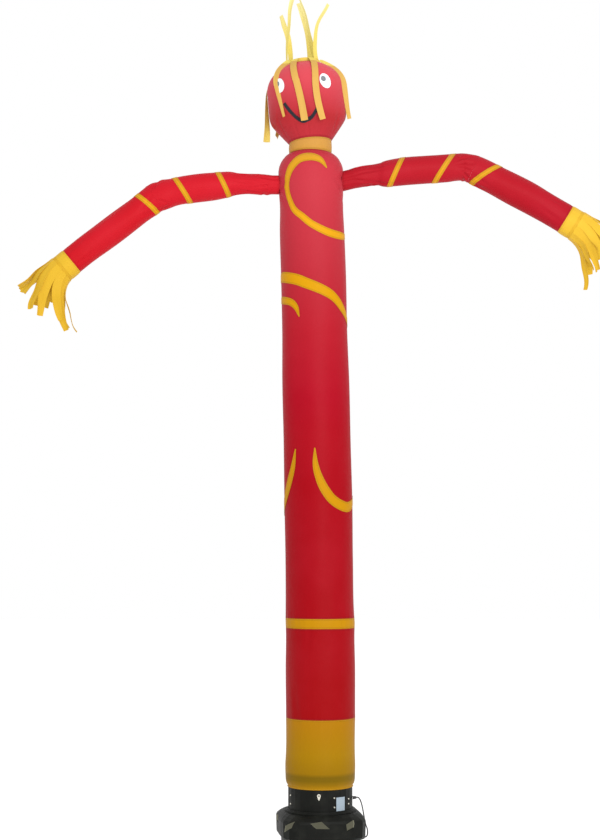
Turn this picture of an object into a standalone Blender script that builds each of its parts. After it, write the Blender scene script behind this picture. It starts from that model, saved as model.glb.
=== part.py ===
"""Inflatable air dancer standing on its blower.

Metres, +Z up. The origin is on the floor, under the axis of the blower's outlet, and the face looks
along -Y. Every cloth wall is a closed sheet with the shape it takes when the air fills it.
"""
import math

import bmesh
import bpy
from mathutils import Vector

# Cloth and seams
CLOTH = 0.0015
SEAM_GAP = 0.0003
TRIM_LIFT = 0.0008
STRIP_LIFT = 0.0012
SMILE_LIFT = 0.0011
BAND_LIFT = 0.0010
TRIM_THICKNESS = 0.0012
RIBBON_THICKNESS = 0.002
BODY_SIDES = 28
ARM_SIDES = 18

# Blower
COLLAR_RADIUS = 0.2125
COLLAR_WALL = 0.004
COLLAR_BEVEL = 0.002
COLLAR_TOP = 0.580
HOUSING_HEIGHT = 0.372
HOUSING_WALL = 0.006
HOUSING_TURN = math.radians(8.0)
HOUSING_SIDES = 32
# Rounded squares from the floor up: half width, power of the curve, height
HOUSING_ROWS = (
    (0.232, 4.0, 0.000),
    (0.244, 4.0, 0.012),
    (0.250, 4.0, 0.200),
    (0.278, 4.5, 0.228),
    (0.281, 4.5, 0.324),
    (0.275, 4.2, 0.340),
    (0.258, 3.4, 0.359),
    (0.243, 2.8, HOUSING_HEIGHT),
    (0.205, 2.0, HOUSING_HEIGHT),
)
# Slanting air inlets through the upper wall: corners across and up
SIDE_INLET = ((-0.068, 0.332), (0.005, 0.341), (0.058, 0.294), (-0.028, 0.297))
LEFT_INLET = ((0.033, 0.344), (0.018, 0.303), (-0.052, 0.266), (-0.036, 0.312))
RIGHT_INLET = ((0.029, 0.346), (0.021, 0.300), (-0.019, 0.278), (-0.025, 0.322))
INLET_AZIMUTH = 37.0
INLET_REACH = (0.200, 0.360)
# Flange round the foot of the collar: radius, height above the housing
FLANGE_ROWS = (
    (0.2370, 0.000),
    (0.2370, 0.004),
    (0.2330, 0.010),
    (0.2280, 0.008),
    (0.2240, 0.010),
    (0.2210, 0.018),
    (0.2160, 0.020),
    (COLLAR_RADIUS + SEAM_GAP, 0.018),
    (COLLAR_RADIUS + SEAM_GAP, 0.000),
)

# Body tube, from the hem on the collar up to the start of the shoulder: height, axis_x, radius
BODY_ROWS = (
    (0.530, 0.000, 0.2185),
    (0.537, 0.000, COLLAR_RADIUS + SEAM_GAP + CLOTH),
    (0.549, 0.000, 0.2225),
    (0.566, 0.000, 0.2275),
    (0.605, 0.000, 0.2302),
    (0.665, 0.000, 0.2317),
    (0.750, 0.001, 0.2285),
    (0.976, 0.002, 0.2291),
    (1.290, 0.002, 0.2315),
    (1.565, 0.002, 0.2297),
    (1.597, 0.002, 0.2310),
    (1.630, 0.001, 0.2297),
    (2.020, -0.003, 0.2262),
    (2.400, -0.009, 0.2286),
    (2.800, -0.019, 0.2262),
    (3.220, -0.029, 0.2270),
    (3.550, -0.035, 0.2212),
    (3.960, -0.042, 0.2220),
    (4.280, -0.052, 0.2200),
    (4.420, -0.055, 0.2160),
    (4.530, -0.059, 0.2195),
    (4.655, -0.060, 0.2228),
)
HEM_BOTTOM = BODY_ROWS[0][0]
CUFF_TOP = 0.976
WAIST_BOTTOM = 1.565
WAIST_TOP = 1.630
SHOULDER_START = BODY_ROWS[-1][0]
SHOULDER_RISE = 0.145
SHOULDER_TOP = 4.789
SHOULDER_STEPS = 5
NECK_RADIUS = 0.1445
NECK_SWELL = 0.0015

# Head, in its own frame on the neck's slanted seam: height, radius
HEAD_BASE = Vector((-0.063, 0.0, 4.873))
HEAD_LEAN = math.radians(5.0)
HEAD_ROWS = (
    (0.000, NECK_RADIUS),
    (0.060, 0.1920),
    (0.120, 0.2380),
    (0.145, 0.2545),
    (0.170, 0.2625),
    (0.200, 0.2655),
    (0.365, 0.2655),
)
CROWN_RISE = 0.196
CROWN_STEPS = 6
VENT_RADIUS = 0.115

# Arms: x and z of the sleeve's axis, radius of the sleeve there
LEFT_UPPER_ROWS = (
    (-0.325, 4.576, 0.0640),
    (-0.385, 4.577, 0.0705),
    (-0.500, 4.583, 0.0695),
    (-0.560, 4.584, 0.0730),
    (-0.620, 4.582, 0.0855),
    (-0.720, 4.568, 0.0930),
    (-0.820, 4.557, 0.0968),
    (-0.930, 4.541, 0.0960),
    (-1.000, 4.526, 0.0935),
    (-1.065, 4.508, 0.0990),
    (-1.130, 4.482, 0.0972),
)
LEFT_FORE_ROWS = (
    (-1.130, 4.482, 0.0972),
    (-1.225, 4.408, 0.0940),
    (-1.320, 4.335, 0.0950),
    (-1.475, 4.218, 0.0950),
    (-1.590, 4.131, 0.0945),
    (-1.692, 4.046, 0.0925),
)
RIGHT_UPPER_ROWS = (
    (0.215, 4.615, 0.0660),
    (0.280, 4.631, 0.0700),
    (0.390, 4.648, 0.0725),
    (0.445, 4.651, 0.0870),
    (0.520, 4.664, 0.0920),
    (0.635, 4.678, 0.0946),
    (0.850, 4.691, 0.0955),
    (0.930, 4.698, 0.0918),
    (0.985, 4.700, 0.0925),
    (1.056, 4.686, 0.0960),
)
RIGHT_FORE_ROWS = (
    (1.056, 4.686, 0.0960),
    (1.130, 4.648, 0.1010),
    (1.211, 4.606, 0.1010),
    (1.320, 4.549, 0.1035),
    (1.430, 4.491, 0.1035),
    (1.540, 4.425, 0.1010),
    (1.681, 4.339, 0.1000),
)
LEFT_ELBOW_SLANT = math.radians(-144.0)
RIGHT_ELBOW_SLANT = math.radians(-24.0)
HAND_LENGTH = 0.070
HAND_SWELL = 1.04

# Slanted bands round the arms: arm, x where the band crosses the axis, slant of its plane in degrees
BAND_WIDTH = 0.034
BAND_ROWS = (
    ("left_upper", -0.660, -154.2),
    ("left_upper", -0.943, -147.0),
    ("left_fore", -1.184, -130.0),
    ("right_upper", 0.526, -24.4),
    ("right_upper", 0.855, -33.0),
    ("right_fore", 1.140, -58.0),
)

# Swirls on the body: azimuth in degrees from the front, height, width
SWIRLS = {
    "swirl_chest": (
        (28.5, 4.645, 0.008),
        (16.6, 4.700, 0.046),
        (0.0, 4.718, 0.058),
        (-20.4, 4.705, 0.060),
        (-36.0, 4.655, 0.058),
        (-45.0, 4.597, 0.054),
        (-48.0, 4.525, 0.048),
        (-44.0, 4.447, 0.044),
        (-33.3, 4.365, 0.044),
        (-18.1, 4.312, 0.046),
        (1.0, 4.251, 0.050),
        (30.2, 4.203, 0.056),
        (61.2, 4.198, 0.052),
        (88.0, 4.215, 0.034),
        (104.0, 4.232, 0.008),
    ),
    "swirl_belly": (
        (-104.0, 3.905, 0.010),
        (-86.0, 3.918, 0.052),
        (-68.0, 3.918, 0.072),
        (-34.2, 3.888, 0.074),
        (-13.5, 3.855, 0.072),
        (15.9, 3.808, 0.068),
        (38.5, 3.761, 0.064),
        (60.1, 3.691, 0.056),
        (80.0, 3.632, 0.044),
        (98.0, 3.590, 0.010),
    ),
    "swirl_hook": (
        (-96.0, 3.758, 0.010),
        (-82.0, 3.768, 0.044),
        (-70.0, 3.761, 0.052),
        (-46.0, 3.738, 0.048),
        (-34.0, 3.698, 0.038),
        (-27.7, 3.632, 0.008),
    ),
    "swirl_hip": (
        (-4.7, 2.752, 0.008),
        (-4.3, 2.651, 0.036),
        (0.3, 2.566, 0.050),
        (10.5, 2.475, 0.062),
        (26.4, 2.402, 0.068),
        (51.7, 2.364, 0.068),
        (75.0, 2.394, 0.052),
        (92.0, 2.442, 0.010),
    ),
    "swirl_side": (
        (-40.1, 2.748, 0.008),
        (-47.0, 2.629, 0.040),
        (-59.0, 2.518, 0.056),
        (-75.3, 2.414, 0.060),
        (-90.0, 2.346, 0.046),
        (-104.0, 2.296, 0.010),
    ),
}
BODY_SCALE = 0.225
SWIRL_CELL = 0.030
SWIRL_ACROSS = 3
CURVE_STEPS = 16

# Face, on the head: azimuth in degrees, height on the head
EYE_SIZE = (0.042, 0.052)
EYE_TILT = math.radians(18.0)
PUPIL_RADIUS = 0.0185
EYE_ROWS = (("right", 29.5, 0.352), ("left", -42.8, 0.357))
PUPIL_SHIFT = (-3.2, 0.013)
SMILE_ROWS = (
    (-36.5, 0.226, 0.022),
    (-27.7, 0.160, 0.023),
    (-19.4, 0.113, 0.023),
    (-10.0, 0.094, 0.023),
    (3.8, 0.110, 0.023),
    (11.9, 0.152, 0.022),
    (18.5, 0.205, 0.021),
)
SMILE_CELL = 0.010
FACE_GAP = 0.0005
FACE_SIDES = 16

# Hair: a narrow ring on the vent, with ribbons that stand up in the air stream or fall over the head
HAIR_RING_HEIGHT = 0.024
HAIR_WIDTH = 0.046
HAIR_CLEARANCE = 0.007
HAIR_SLOT = 360.0 / 14
# slot, azimuth halfway in degrees, azimuth of the tip, length, width at the tip, how far the tip stands off
FALLING_HAIR = (
    (13, -13.5, -6.8, 0.545, 0.048, 0.000),
    (1, 13.5, 19.5, 0.540, 0.044, 0.000),
    (3, 72.0, 82.0, 0.490, 0.044, 0.020),
    (7, 176.0, 172.0, 0.460, 0.046, 0.000),
    (8, -150.0, -126.0, 0.515, 0.048, 0.010),
    (10, -104.0, -104.0, 0.573, 0.050, 0.036),
    (12, -47.5, -37.6, 0.488, 0.020, 0.000),
)
FALL_STEPS = 9
ROOT_ARCH = 0.016
ROOT_ARCH_LENGTH = 0.05
# slot, height of the tip above the ring, sideways travel of the tip, bow to the side, depth of the tip
RISING_HAIR = (
    (2, 0.365, 0.078, -0.028, -0.060),
    (5, 0.490, -0.110, -0.010, 0.000),
    (6, 0.470, -0.082, 0.012, 0.030),
    (9, 0.378, -0.070, 0.014, 0.015),
    (11, 0.465, 0.040, -0.006, -0.020),
)
RISE_STEPS = 7
RISE_CURVE = 1.5
RISE_TAPER = 0.25

# Hand fringes: length, droop, sideways drift, width at the tip, going round the hand from its top
LEFT_FRINGE = (
    (0.300, 0.05, 0.000, 0.070),
    (0.310, 0.45, 0.020, 0.066),
    (0.375, 1.10, 0.045, 0.056),
    (0.375, 1.40, 0.050, 0.046),
    (0.345, 2.60, 0.030, 0.042),
    (0.385, 2.70, 0.012, 0.038),
    (0.380, 4.00, -0.004, 0.030),
    (0.350, 2.70, -0.028, 0.042),
    (0.215, 0.50, -0.045, 0.042),
    (0.285, 0.90, -0.062, 0.040),
    (0.320, 0.70, -0.045, 0.052),
    (0.305, 0.05, -0.020, 0.068),
)
RIGHT_FRINGE = (
    (0.305, 0.10, 0.000, 0.050),
    (0.290, 0.30, 0.040, 0.048),
    (0.300, 0.55, 0.055, 0.046),
    (0.280, 1.00, 0.050, 0.042),
    (0.330, 1.20, 0.035, 0.038),
    (0.290, 1.10, 0.015, 0.034),
    (0.390, 1.70, -0.004, 0.030),
    (0.300, 1.00, -0.025, 0.038),
    (0.325, 0.75, -0.042, 0.040),
    (0.285, 0.62, -0.055, 0.042),
    (0.300, 0.45, -0.050, 0.046),
    (0.285, 0.22, -0.030, 0.048),
)
FRINGE_RING = 0.022
FRINGE_SHARE = 0.80
FRINGE_STEPS = 5
FRINGE_SLOWING = 0.72
FRINGE_SPREAD = 6.0
FRINGE_CURVE = 0.8

# Lead of the motor, from the gland on the collar to the gland on the housing
LEAD_RADIUS = 0.004
LEAD_ROUTE = (
    (0.2375, -0.0200, 0.4560),
    (0.2490, -0.0199, 0.4556),
    (0.2600, -0.0180, 0.4440),
    (0.2710, -0.0120, 0.4170),
    (0.2800, -0.0040, 0.3790),
    (0.2880, 0.0040, 0.3350),
    (0.2990, 0.0090, 0.2810),
    (0.3110, 0.0110, 0.2430),
    (0.3120, 0.0110, 0.2170),
    (0.3050, 0.0110, 0.1990),
    (0.2910, 0.0110, 0.1925),
)
GLAND_RADII = (0.011, 0.008)
COLLAR_GLAND_DEPTH = 0.0245
HOUSING_GLAND_DEPTH = 0.0384

# Fittings on the collar: azimuth in degrees, height
RIVET_ROWS = (
    (-67.0, 0.479),
    (-67.0, 0.424),
    (24.8, 0.478),
    (24.8, 0.418),
    (60.0, 0.460),
    (60.0, 0.428),
)
RIVET_RADIUS = 0.006
RIVET_HEIGHT = 0.004
EYE_FITTING = (-3.0, 0.494)
# Half width, rise above the hole, drop of the tongue below it
EYE_FITTING_SIZE = (0.012, 0.012, 0.030)
EYE_FITTING_DEPTH = 0.005
EYE_FITTING_SIDES = 12
EYE_HOLE_RADIUS = 0.005
EYE_TONGUE_TAPER = 0.5
PLATE_AZIMUTH = (28.4, 47.0)
PLATE_HEIGHTS = (0.393, 0.480)
PLATE_STEPS = 4


def make_material(name, colour, roughness, metallic=0.0):
    material = bpy.data.materials.new(name)
    material.use_nodes = True
    shader = material.node_tree.nodes["Principled BSDF"]
    shader.inputs["Base Color"].default_value = (*colour, 1.0)
    shader.inputs["Roughness"].default_value = roughness
    shader.inputs["Metallic"].default_value = metallic
    material.diffuse_color = (*colour, 1.0)
    return material


def finish(name, bm, material, smooth_angle=40.0):
    """Turn an edit mesh into a named object with its faces pointing out."""
    bmesh.ops.recalc_face_normals(bm, faces=bm.faces)
    mesh = bpy.data.meshes.new(name)
    bm.to_mesh(mesh)
    bm.free()
    mesh.shade_smooth()
    mesh.set_sharp_from_angle(angle=math.radians(smooth_angle))
    mesh.materials.append(material)
    obj = bpy.data.objects.new(name, mesh)
    bpy.context.scene.collection.objects.link(obj)
    return obj


def thicken(obj, thickness, offset):
    solid = obj.modifiers.new("Thickness", "SOLIDIFY")
    solid.thickness = thickness
    solid.offset = offset
    solid.use_even_offset = True
    return obj


def blend(rows, position, column):
    """Value of one column of a table at a position along its first column."""
    step = 1 if rows[-1][0] > rows[0][0] else -1
    for low, high in zip(rows, rows[1:]):
        if (high[0] - position) * step >= 0.0:
            share = (position - low[0]) / (high[0] - low[0])
            return low[column] + (high[column] - low[column]) * max(0.0, share)
    return rows[-1][column]


def smooth_rows(rows, steps):
    """Rows of a table with further rows between them, on a curve through all of them."""
    result = []
    last = len(rows) - 1
    for index in range(last):
        before, start, end, after = (rows[max(index - 1, 0)], rows[index], rows[index + 1],
                                     rows[min(index + 2, last)])
        for step in range(steps):
            t = step / steps
            result.append(tuple(
                0.5 * (2 * b + (c - a) * t + (2 * a - 5 * b + 4 * c - d) * t ** 2
                       + (3 * b - a - 3 * c + d) * t ** 3)
                for a, b, c, d in zip(before, start, end, after)))
    result.append(tuple(rows[-1]))
    return result


def tube_wall(name, outer, inner, material):
    """A tube's wall as one closed body, from its outer rings and its inner rings."""
    bm = bmesh.new()
    rings = [[bm.verts.new(point) for point in ring] for ring in outer + inner[::-1]]
    for ring, following in zip(rings, rings[1:] + rings[:1]):
        for side in range(len(ring)):
            after = (side + 1) % len(ring)
            bm.faces.new((ring[side], ring[after], following[after], following[side]))
    return finish(name, bm, material)


def body_radius(height):
    if height <= SHOULDER_START:
        return blend(BODY_ROWS, height, 2)
    start = BODY_ROWS[-1][2]
    top_share = 1.0 - math.sqrt(1.0 - ((SHOULDER_TOP - SHOULDER_START) / SHOULDER_RISE) ** 2)
    share = 1.0 - math.sqrt(1.0 - ((height - SHOULDER_START) / SHOULDER_RISE) ** 2)
    return start - (start - NECK_RADIUS) * share / top_share


def body_point(azimuth, height, lift=0.0):
    """Point on the body's cloth, at an angle in radians from the front."""
    step = 0.002
    low = min(height, SHOULDER_TOP - step)
    slope = (body_radius(low + step) - body_radius(low - step)) / (2.0 * step)
    length = math.hypot(1.0, slope)
    radius = body_radius(height) + lift / length
    axis_x = blend(BODY_ROWS, height, 1)
    return Vector((axis_x + radius * math.sin(azimuth), -radius * math.cos(azimuth),
                   height - lift * slope / length))


def head_radius(height):
    side = HEAD_ROWS[-1]
    if height <= side[0]:
        return blend(HEAD_ROWS, height, 1)
    share = (height - side[0]) / CROWN_RISE
    return side[1] * math.sqrt(max(0.0, 1.0 - share ** 2))


def head_frame(x, y, height):
    across = Vector((math.cos(HEAD_LEAN), 0.0, math.sin(HEAD_LEAN)))
    up = Vector((-math.sin(HEAD_LEAN), 0.0, math.cos(HEAD_LEAN)))
    return HEAD_BASE + across * x + Vector((0.0, y, 0.0)) + up * height


def head_point(azimuth, height, lift=0.0):
    """Point on the head's cloth, at an angle in radians from the front."""
    step = 0.002
    low = min(max(height, step), vent_height() - step)
    slope = (head_radius(low + step) - head_radius(low - step)) / (2.0 * step)
    length = math.hypot(1.0, slope)
    radius = head_radius(height) + lift / length
    return head_frame(radius * math.sin(azimuth), -radius * math.cos(azimuth),
                      height - lift * slope / length)


def vent_height():
    side = HEAD_ROWS[-1]
    return side[0] + CROWN_RISE * math.sqrt(1.0 - (VENT_RADIUS / side[1]) ** 2)


def azimuths(sides):
    return [2.0 * math.pi * side / sides for side in range(sides)]


def revolve_cloth(name, surface, heights, material):
    """A cloth tube from a surface function, one ring for each height."""
    outer = [[surface(azimuth, height) for azimuth in azimuths(BODY_SIDES)] for height in heights]
    inner = [[surface(azimuth, height, -CLOTH) for azimuth in azimuths(BODY_SIDES)] for height in heights]
    return tube_wall(name, outer, inner, material)


def body_heights(bottom, top):
    between = [row[0] for row in BODY_ROWS if bottom + 0.005 < row[0] < top - 0.005]
    return [bottom, *between, top]


def shoulder_heights():
    top_angle = math.asin((SHOULDER_TOP - SHOULDER_START) / SHOULDER_RISE)
    return [SHOULDER_START + SHOULDER_RISE * math.sin(top_angle * step / SHOULDER_STEPS)
            for step in range(SHOULDER_STEPS + 1)]


def build_body(red, yellow):
    revolve_cloth("cuff", body_point, body_heights(HEM_BOTTOM, CUFF_TOP), yellow)
    revolve_cloth("lower_panel", body_point,
                  body_heights(CUFF_TOP + SEAM_GAP, WAIST_BOTTOM - SEAM_GAP), red)
    revolve_cloth("waist_band", body_point, body_heights(WAIST_BOTTOM, WAIST_TOP), yellow)
    heights = body_heights(WAIST_TOP + SEAM_GAP, SHOULDER_START)[:-1] + shoulder_heights()
    body = revolve_cloth("body", body_point, heights, red)
    for side, rows in (("left", LEFT_UPPER_ROWS), ("right", RIGHT_UPPER_ROWS)):
        cut = bmesh.new()
        bmesh.ops.create_cone(cut, cap_ends=True, segments=ARM_SIDES, radius1=rows[0][2] - 2.0 * CLOTH,
                              radius2=rows[0][2] - 2.0 * CLOTH, depth=0.2)
        cutter = finish("armhole_" + side, cut, red)
        outward = math.copysign(1.0, rows[0][0])
        cutter.rotation_euler = (0.0, math.radians(90.0), 0.0)
        edge = blend(BODY_ROWS, rows[0][1], 1) + outward * body_radius(rows[0][1])
        cutter.location = (edge, 0.0, rows[0][1])
        cutter.hide_render = True
        cutter.display_type = "WIRE"
        hole = body.modifiers.new("Armhole " + side, "BOOLEAN")
        hole.operation = "DIFFERENCE"
        hole.object = cutter


def build_neck(yellow):
    bottom = SHOULDER_TOP + SEAM_GAP
    middle = (bottom + HEAD_BASE.z) / 2.0
    rings = []
    for depth in (0.0, CLOTH):
        low, centre, high = [], [], []
        for azimuth in azimuths(BODY_SIDES):
            radius = NECK_RADIUS - depth
            swell = radius + NECK_SWELL
            rise = swell * math.sin(azimuth) * math.tan(HEAD_LEAN) / 2.0
            low.append(Vector((HEAD_BASE.x + radius * math.sin(azimuth), -radius * math.cos(azimuth), bottom)))
            centre.append(Vector((HEAD_BASE.x + swell * math.sin(azimuth), -swell * math.cos(azimuth),
                                  middle + rise)))
            high.append(head_frame(radius * math.sin(azimuth), -radius * math.cos(azimuth), 0.0))
        rings.append([low, centre, high])
    tube_wall("neck", rings[0], rings[1], yellow)


def build_head(red):
    side = HEAD_ROWS[-1]
    vent_angle = math.acos(VENT_RADIUS / side[1])
    crown = [side[0] + CROWN_RISE * math.sin(vent_angle * step / CROWN_STEPS)
             for step in range(1, CROWN_STEPS + 1)]
    heights = [SEAM_GAP, *[row[0] for row in HEAD_ROWS[1:]], *crown]
    revolve_cloth("head", head_point, heights, red)


class Sleeve:
    """Cloth tube along an axis in the XZ plane, with a ring for each row of its table."""

    def __init__(self, rows, first_slant=None, last_slant=None):
        self.rows = rows
        self.outward = math.copysign(1.0, rows[-1][0] - rows[0][0])
        self.slants = []
        self.headings = []
        for index in range(len(rows)):
            before = rows[max(index - 1, 0)]
            after = rows[min(index + 1, len(rows) - 1)]
            heading = math.atan2(after[1] - before[1], after[0] - before[0])
            self.headings.append(heading)
            self.slants.append(heading)
        if first_slant is not None:
            self.slants[0] = first_slant
        if last_slant is not None:
            self.slants[-1] = last_slant

    def point(self, index, angle, lift=0.0):
        """Point of a ring, at an angle from the sleeve's top round towards the front."""
        x, z, radius = self.rows[index]
        slant = self.slants[index]
        stretch = 1.0 / math.cos(slant - self.headings[index])
        up = Vector((-math.sin(slant) * self.outward, 0.0, math.cos(slant) * self.outward))
        size = radius + lift
        return (Vector((x, 0.0, z)) + up * (size * stretch * math.cos(angle))
                + Vector((0.0, -size * math.sin(angle), 0.0)))

    def ring(self, index, lift=0.0, shift=0.0):
        slant = self.slants[index]
        along = Vector((math.cos(slant), 0.0, math.sin(slant)))
        return [self.point(index, angle, lift) + along * shift for angle in azimuths(ARM_SIDES)]

    def meet_plane(self, centre, normal, angle, lift):
        """Point of the sleeve's surface on a plane, at an angle from its top."""
        points = [self.point(index, angle, lift) for index in range(len(self.rows))]
        distances = [(point - centre).dot(normal) for point in points]
        for index in range(len(points) - 1):
            near, far = distances[index], distances[index + 1]
            if near <= 0.0 <= far or far <= 0.0 <= near:
                return points[index].lerp(points[index + 1], near / (near - far))
        return points[0] if abs(distances[0]) < abs(distances[-1]) else points[-1]

    def axis_z(self, x):
        return blend(self.rows, x, 1)


def on_body(point, heading):
    """Where a line back from a sleeve's ring meets the body's cloth, less the seam's gap."""
    low, high = 0.0, 0.2
    for _ in range(40):
        middle = (low + high) / 2.0
        probe = point - heading * middle
        reach = math.hypot(probe.x - blend(BODY_ROWS, probe.z, 1), probe.y)
        if reach > body_radius(probe.z) + SEAM_GAP:
            low = middle
        else:
            high = middle
    return point - heading * low


def sleeves():
    return {
        "left_upper": Sleeve(LEFT_UPPER_ROWS, last_slant=LEFT_ELBOW_SLANT),
        "left_fore": Sleeve(LEFT_FORE_ROWS, first_slant=LEFT_ELBOW_SLANT),
        "right_upper": Sleeve(RIGHT_UPPER_ROWS, last_slant=RIGHT_ELBOW_SLANT),
        "right_fore": Sleeve(RIGHT_FORE_ROWS, first_slant=RIGHT_ELBOW_SLANT),
    }


def build_arms(red):
    for name, sleeve in sleeves().items():
        walls = []
        for lift in (0.0, -CLOTH):
            rings = [sleeve.ring(index, lift) for index in range(len(sleeve.rows))]
            if name.endswith("upper"):
                heading = Vector((math.cos(sleeve.headings[0]), 0.0, math.sin(sleeve.headings[0])))
                rings.insert(0, [on_body(point, heading) for point in rings[0]])
                rings[-1] = sleeve.ring(len(sleeve.rows) - 1, lift, -SEAM_GAP / 2.0)
            else:
                rings[0] = sleeve.ring(0, lift, SEAM_GAP / 2.0)
            walls.append(rings)
        tube_wall(name + "_arm", walls[0], walls[1], red)


def build_bands(yellow):
    arms = sleeves()
    for number, (arm, x, slant) in enumerate(BAND_ROWS, start=1):
        sleeve = arms[arm]
        centre = Vector((x, 0.0, sleeve.axis_z(x)))
        normal = Vector((math.cos(math.radians(slant)), 0.0, math.sin(math.radians(slant))))
        walls = []
        for lift in (BAND_LIFT + TRIM_THICKNESS, BAND_LIFT):
            walls.append([[sleeve.meet_plane(centre + normal * offset, normal, angle, lift)
                           for angle in azimuths(ARM_SIDES)]
                          for offset in (-BAND_WIDTH / 2.0, BAND_WIDTH / 2.0)])
        tube_wall("arm_band_%d" % number, walls[0], walls[1], yellow)


def applique(name, surface, scale, rows, cell, lift, material, across):
    """A sewn-on strip: its centre line runs through a table of azimuth, height and width."""
    steps = smooth_rows([(math.radians(row[0]) * scale, row[1], row[2]) for row in rows], CURVE_STEPS)
    picked = [steps[0]]
    for step in steps[1:-1]:
        if math.dist(step[:2], picked[-1][:2]) >= cell:
            picked.append(step)
    if math.dist(steps[-1][:2], picked[-1][:2]) < cell / 2.0:
        picked.pop()
    picked.append(steps[-1])
    bm = bmesh.new()
    lines = []
    for index, (along, height, width) in enumerate(picked):
        before = picked[max(index - 1, 0)]
        after = picked[min(index + 1, len(picked) - 1)]
        heading = Vector((after[0] - before[0], after[1] - before[1])).normalized()
        line = []
        for place in range(across + 1):
            offset = width * (place / across - 0.5)
            line.append(bm.verts.new(surface((along - heading.y * offset) / scale,
                                             height + heading.x * offset, lift)))
        lines.append(line)
    for line, following in zip(lines, lines[1:]):
        for place in range(across):
            bm.faces.new((line[place], following[place], following[place + 1], line[place + 1]))
    thicken_outward(finish(name, bm, material))


def thicken_outward(obj):
    """Give a sewn-on sheet its thickness on the side away from the cloth under it."""
    mesh = obj.data
    face = mesh.polygons[0]
    axis = Vector((blend(BODY_ROWS, face.center.z, 1), 0.0, face.center.z))
    if face.normal.dot(face.center - axis) < 0.0:
        mesh.flip_normals()
    thicken(obj, TRIM_THICKNESS, 1.0)


def build_swirls(yellow):
    for name, rows in SWIRLS.items():
        applique(name, body_point, BODY_SCALE, rows, SWIRL_CELL, STRIP_LIFT, yellow, SWIRL_ACROSS)


def disc_on_head(name, azimuth, height, size, tilt, lift, material):
    """An oval patch sewn on the head."""
    scale = HEAD_ROWS[-1][1]
    bm = bmesh.new()
    centre = bm.verts.new(head_point(azimuth, height, lift))
    rings = []
    for share in (0.5, 1.0):
        ring = []
        for angle in azimuths(FACE_SIDES):
            x = size[0] * share * math.cos(angle)
            y = size[1] * share * math.sin(angle)
            turned_x = x * math.cos(tilt) - y * math.sin(tilt)
            turned_y = x * math.sin(tilt) + y * math.cos(tilt)
            ring.append(bm.verts.new(head_point(azimuth + turned_x / scale, height + turned_y, lift)))
        rings.append(ring)
    for side in range(FACE_SIDES):
        after = (side + 1) % FACE_SIDES
        bm.faces.new((centre, rings[0][side], rings[0][after]))
        bm.faces.new((rings[0][side], rings[1][side], rings[1][after], rings[0][after]))
    thicken_outward(finish(name, bm, material))


def build_face(white, grey, black):
    for side, azimuth, height in EYE_ROWS:
        disc_on_head("eye_" + side, math.radians(azimuth), height, EYE_SIZE, EYE_TILT, TRIM_LIFT, white)
        disc_on_head("pupil_" + side, math.radians(azimuth + PUPIL_SHIFT[0]), height + PUPIL_SHIFT[1],
                     (PUPIL_RADIUS, PUPIL_RADIUS), 0.0, TRIM_LIFT + TRIM_THICKNESS + FACE_GAP, grey)
    applique("smile", head_point, HEAD_ROWS[-1][1], SMILE_ROWS, SMILE_CELL, SMILE_LIFT, black, 2)


def add_ribbon(bm, root, points, normals, widths):
    """Grow a flat ribbon of four sides out of a face of its backing ring."""
    loops = []
    for index, point in enumerate(points):
        before = points[max(index - 1, 0)]
        after = points[min(index + 1, len(points) - 1)]
        along = (after - before).normalized()
        normal = (normals[index] - along * normals[index].dot(along)).normalized()
        across = normal.cross(along)
        half = across * widths[index] / 2.0
        rise = normal * RIBBON_THICKNESS / 2.0
        loops.append([point - half - rise, point + half - rise, point + half + rise, point - half + rise])
    free = list(root.verts)
    first = []
    for corner in loops[0]:
        nearest = min(free, key=lambda vertex: (vertex.co - corner).length)
        free.remove(nearest)
        first.append(nearest)
    bmesh.ops.delete(bm, geom=[root], context="FACES_ONLY")
    lines = [first] + [[bm.verts.new(corner) for corner in loop] for loop in loops[1:]]
    for line, following in zip(lines, lines[1:]):
        for side in range(4):
            after = (side + 1) % 4
            bm.faces.new((line[side], line[after], following[after], following[side]))
    bm.faces.new(lines[-1])


def ribbon_ring(count, share, frame, radius, depths):
    """A narrow ring with one wide face for each ribbon; returns the mesh and its grid of faces."""
    pitch = 2.0 * math.pi / count
    angles = []
    for slot in range(count):
        angles += [(slot - share / 2.0) * pitch, (slot + share / 2.0) * pitch]
    bm = bmesh.new()
    outer = [[bm.verts.new(frame(angle, radius, depth)) for angle in angles] for depth in depths]
    inner = [[bm.verts.new(frame(angle, radius - RIBBON_THICKNESS, depth)) for angle in angles]
             for depth in depths]
    rings = outer + inner[::-1]
    faces = {}
    for row, (ring, following) in enumerate(zip(rings, rings[1:] + rings[:1])):
        for side in range(len(ring)):
            after = (side + 1) % len(ring)
            faces[row, side] = bm.faces.new((ring[side], ring[after], following[after], following[side]))
    return bm, faces


def hair_frame(angle, radius, height):
    return head_frame(radius * math.sin(angle), -radius * math.cos(angle), height)


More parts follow.
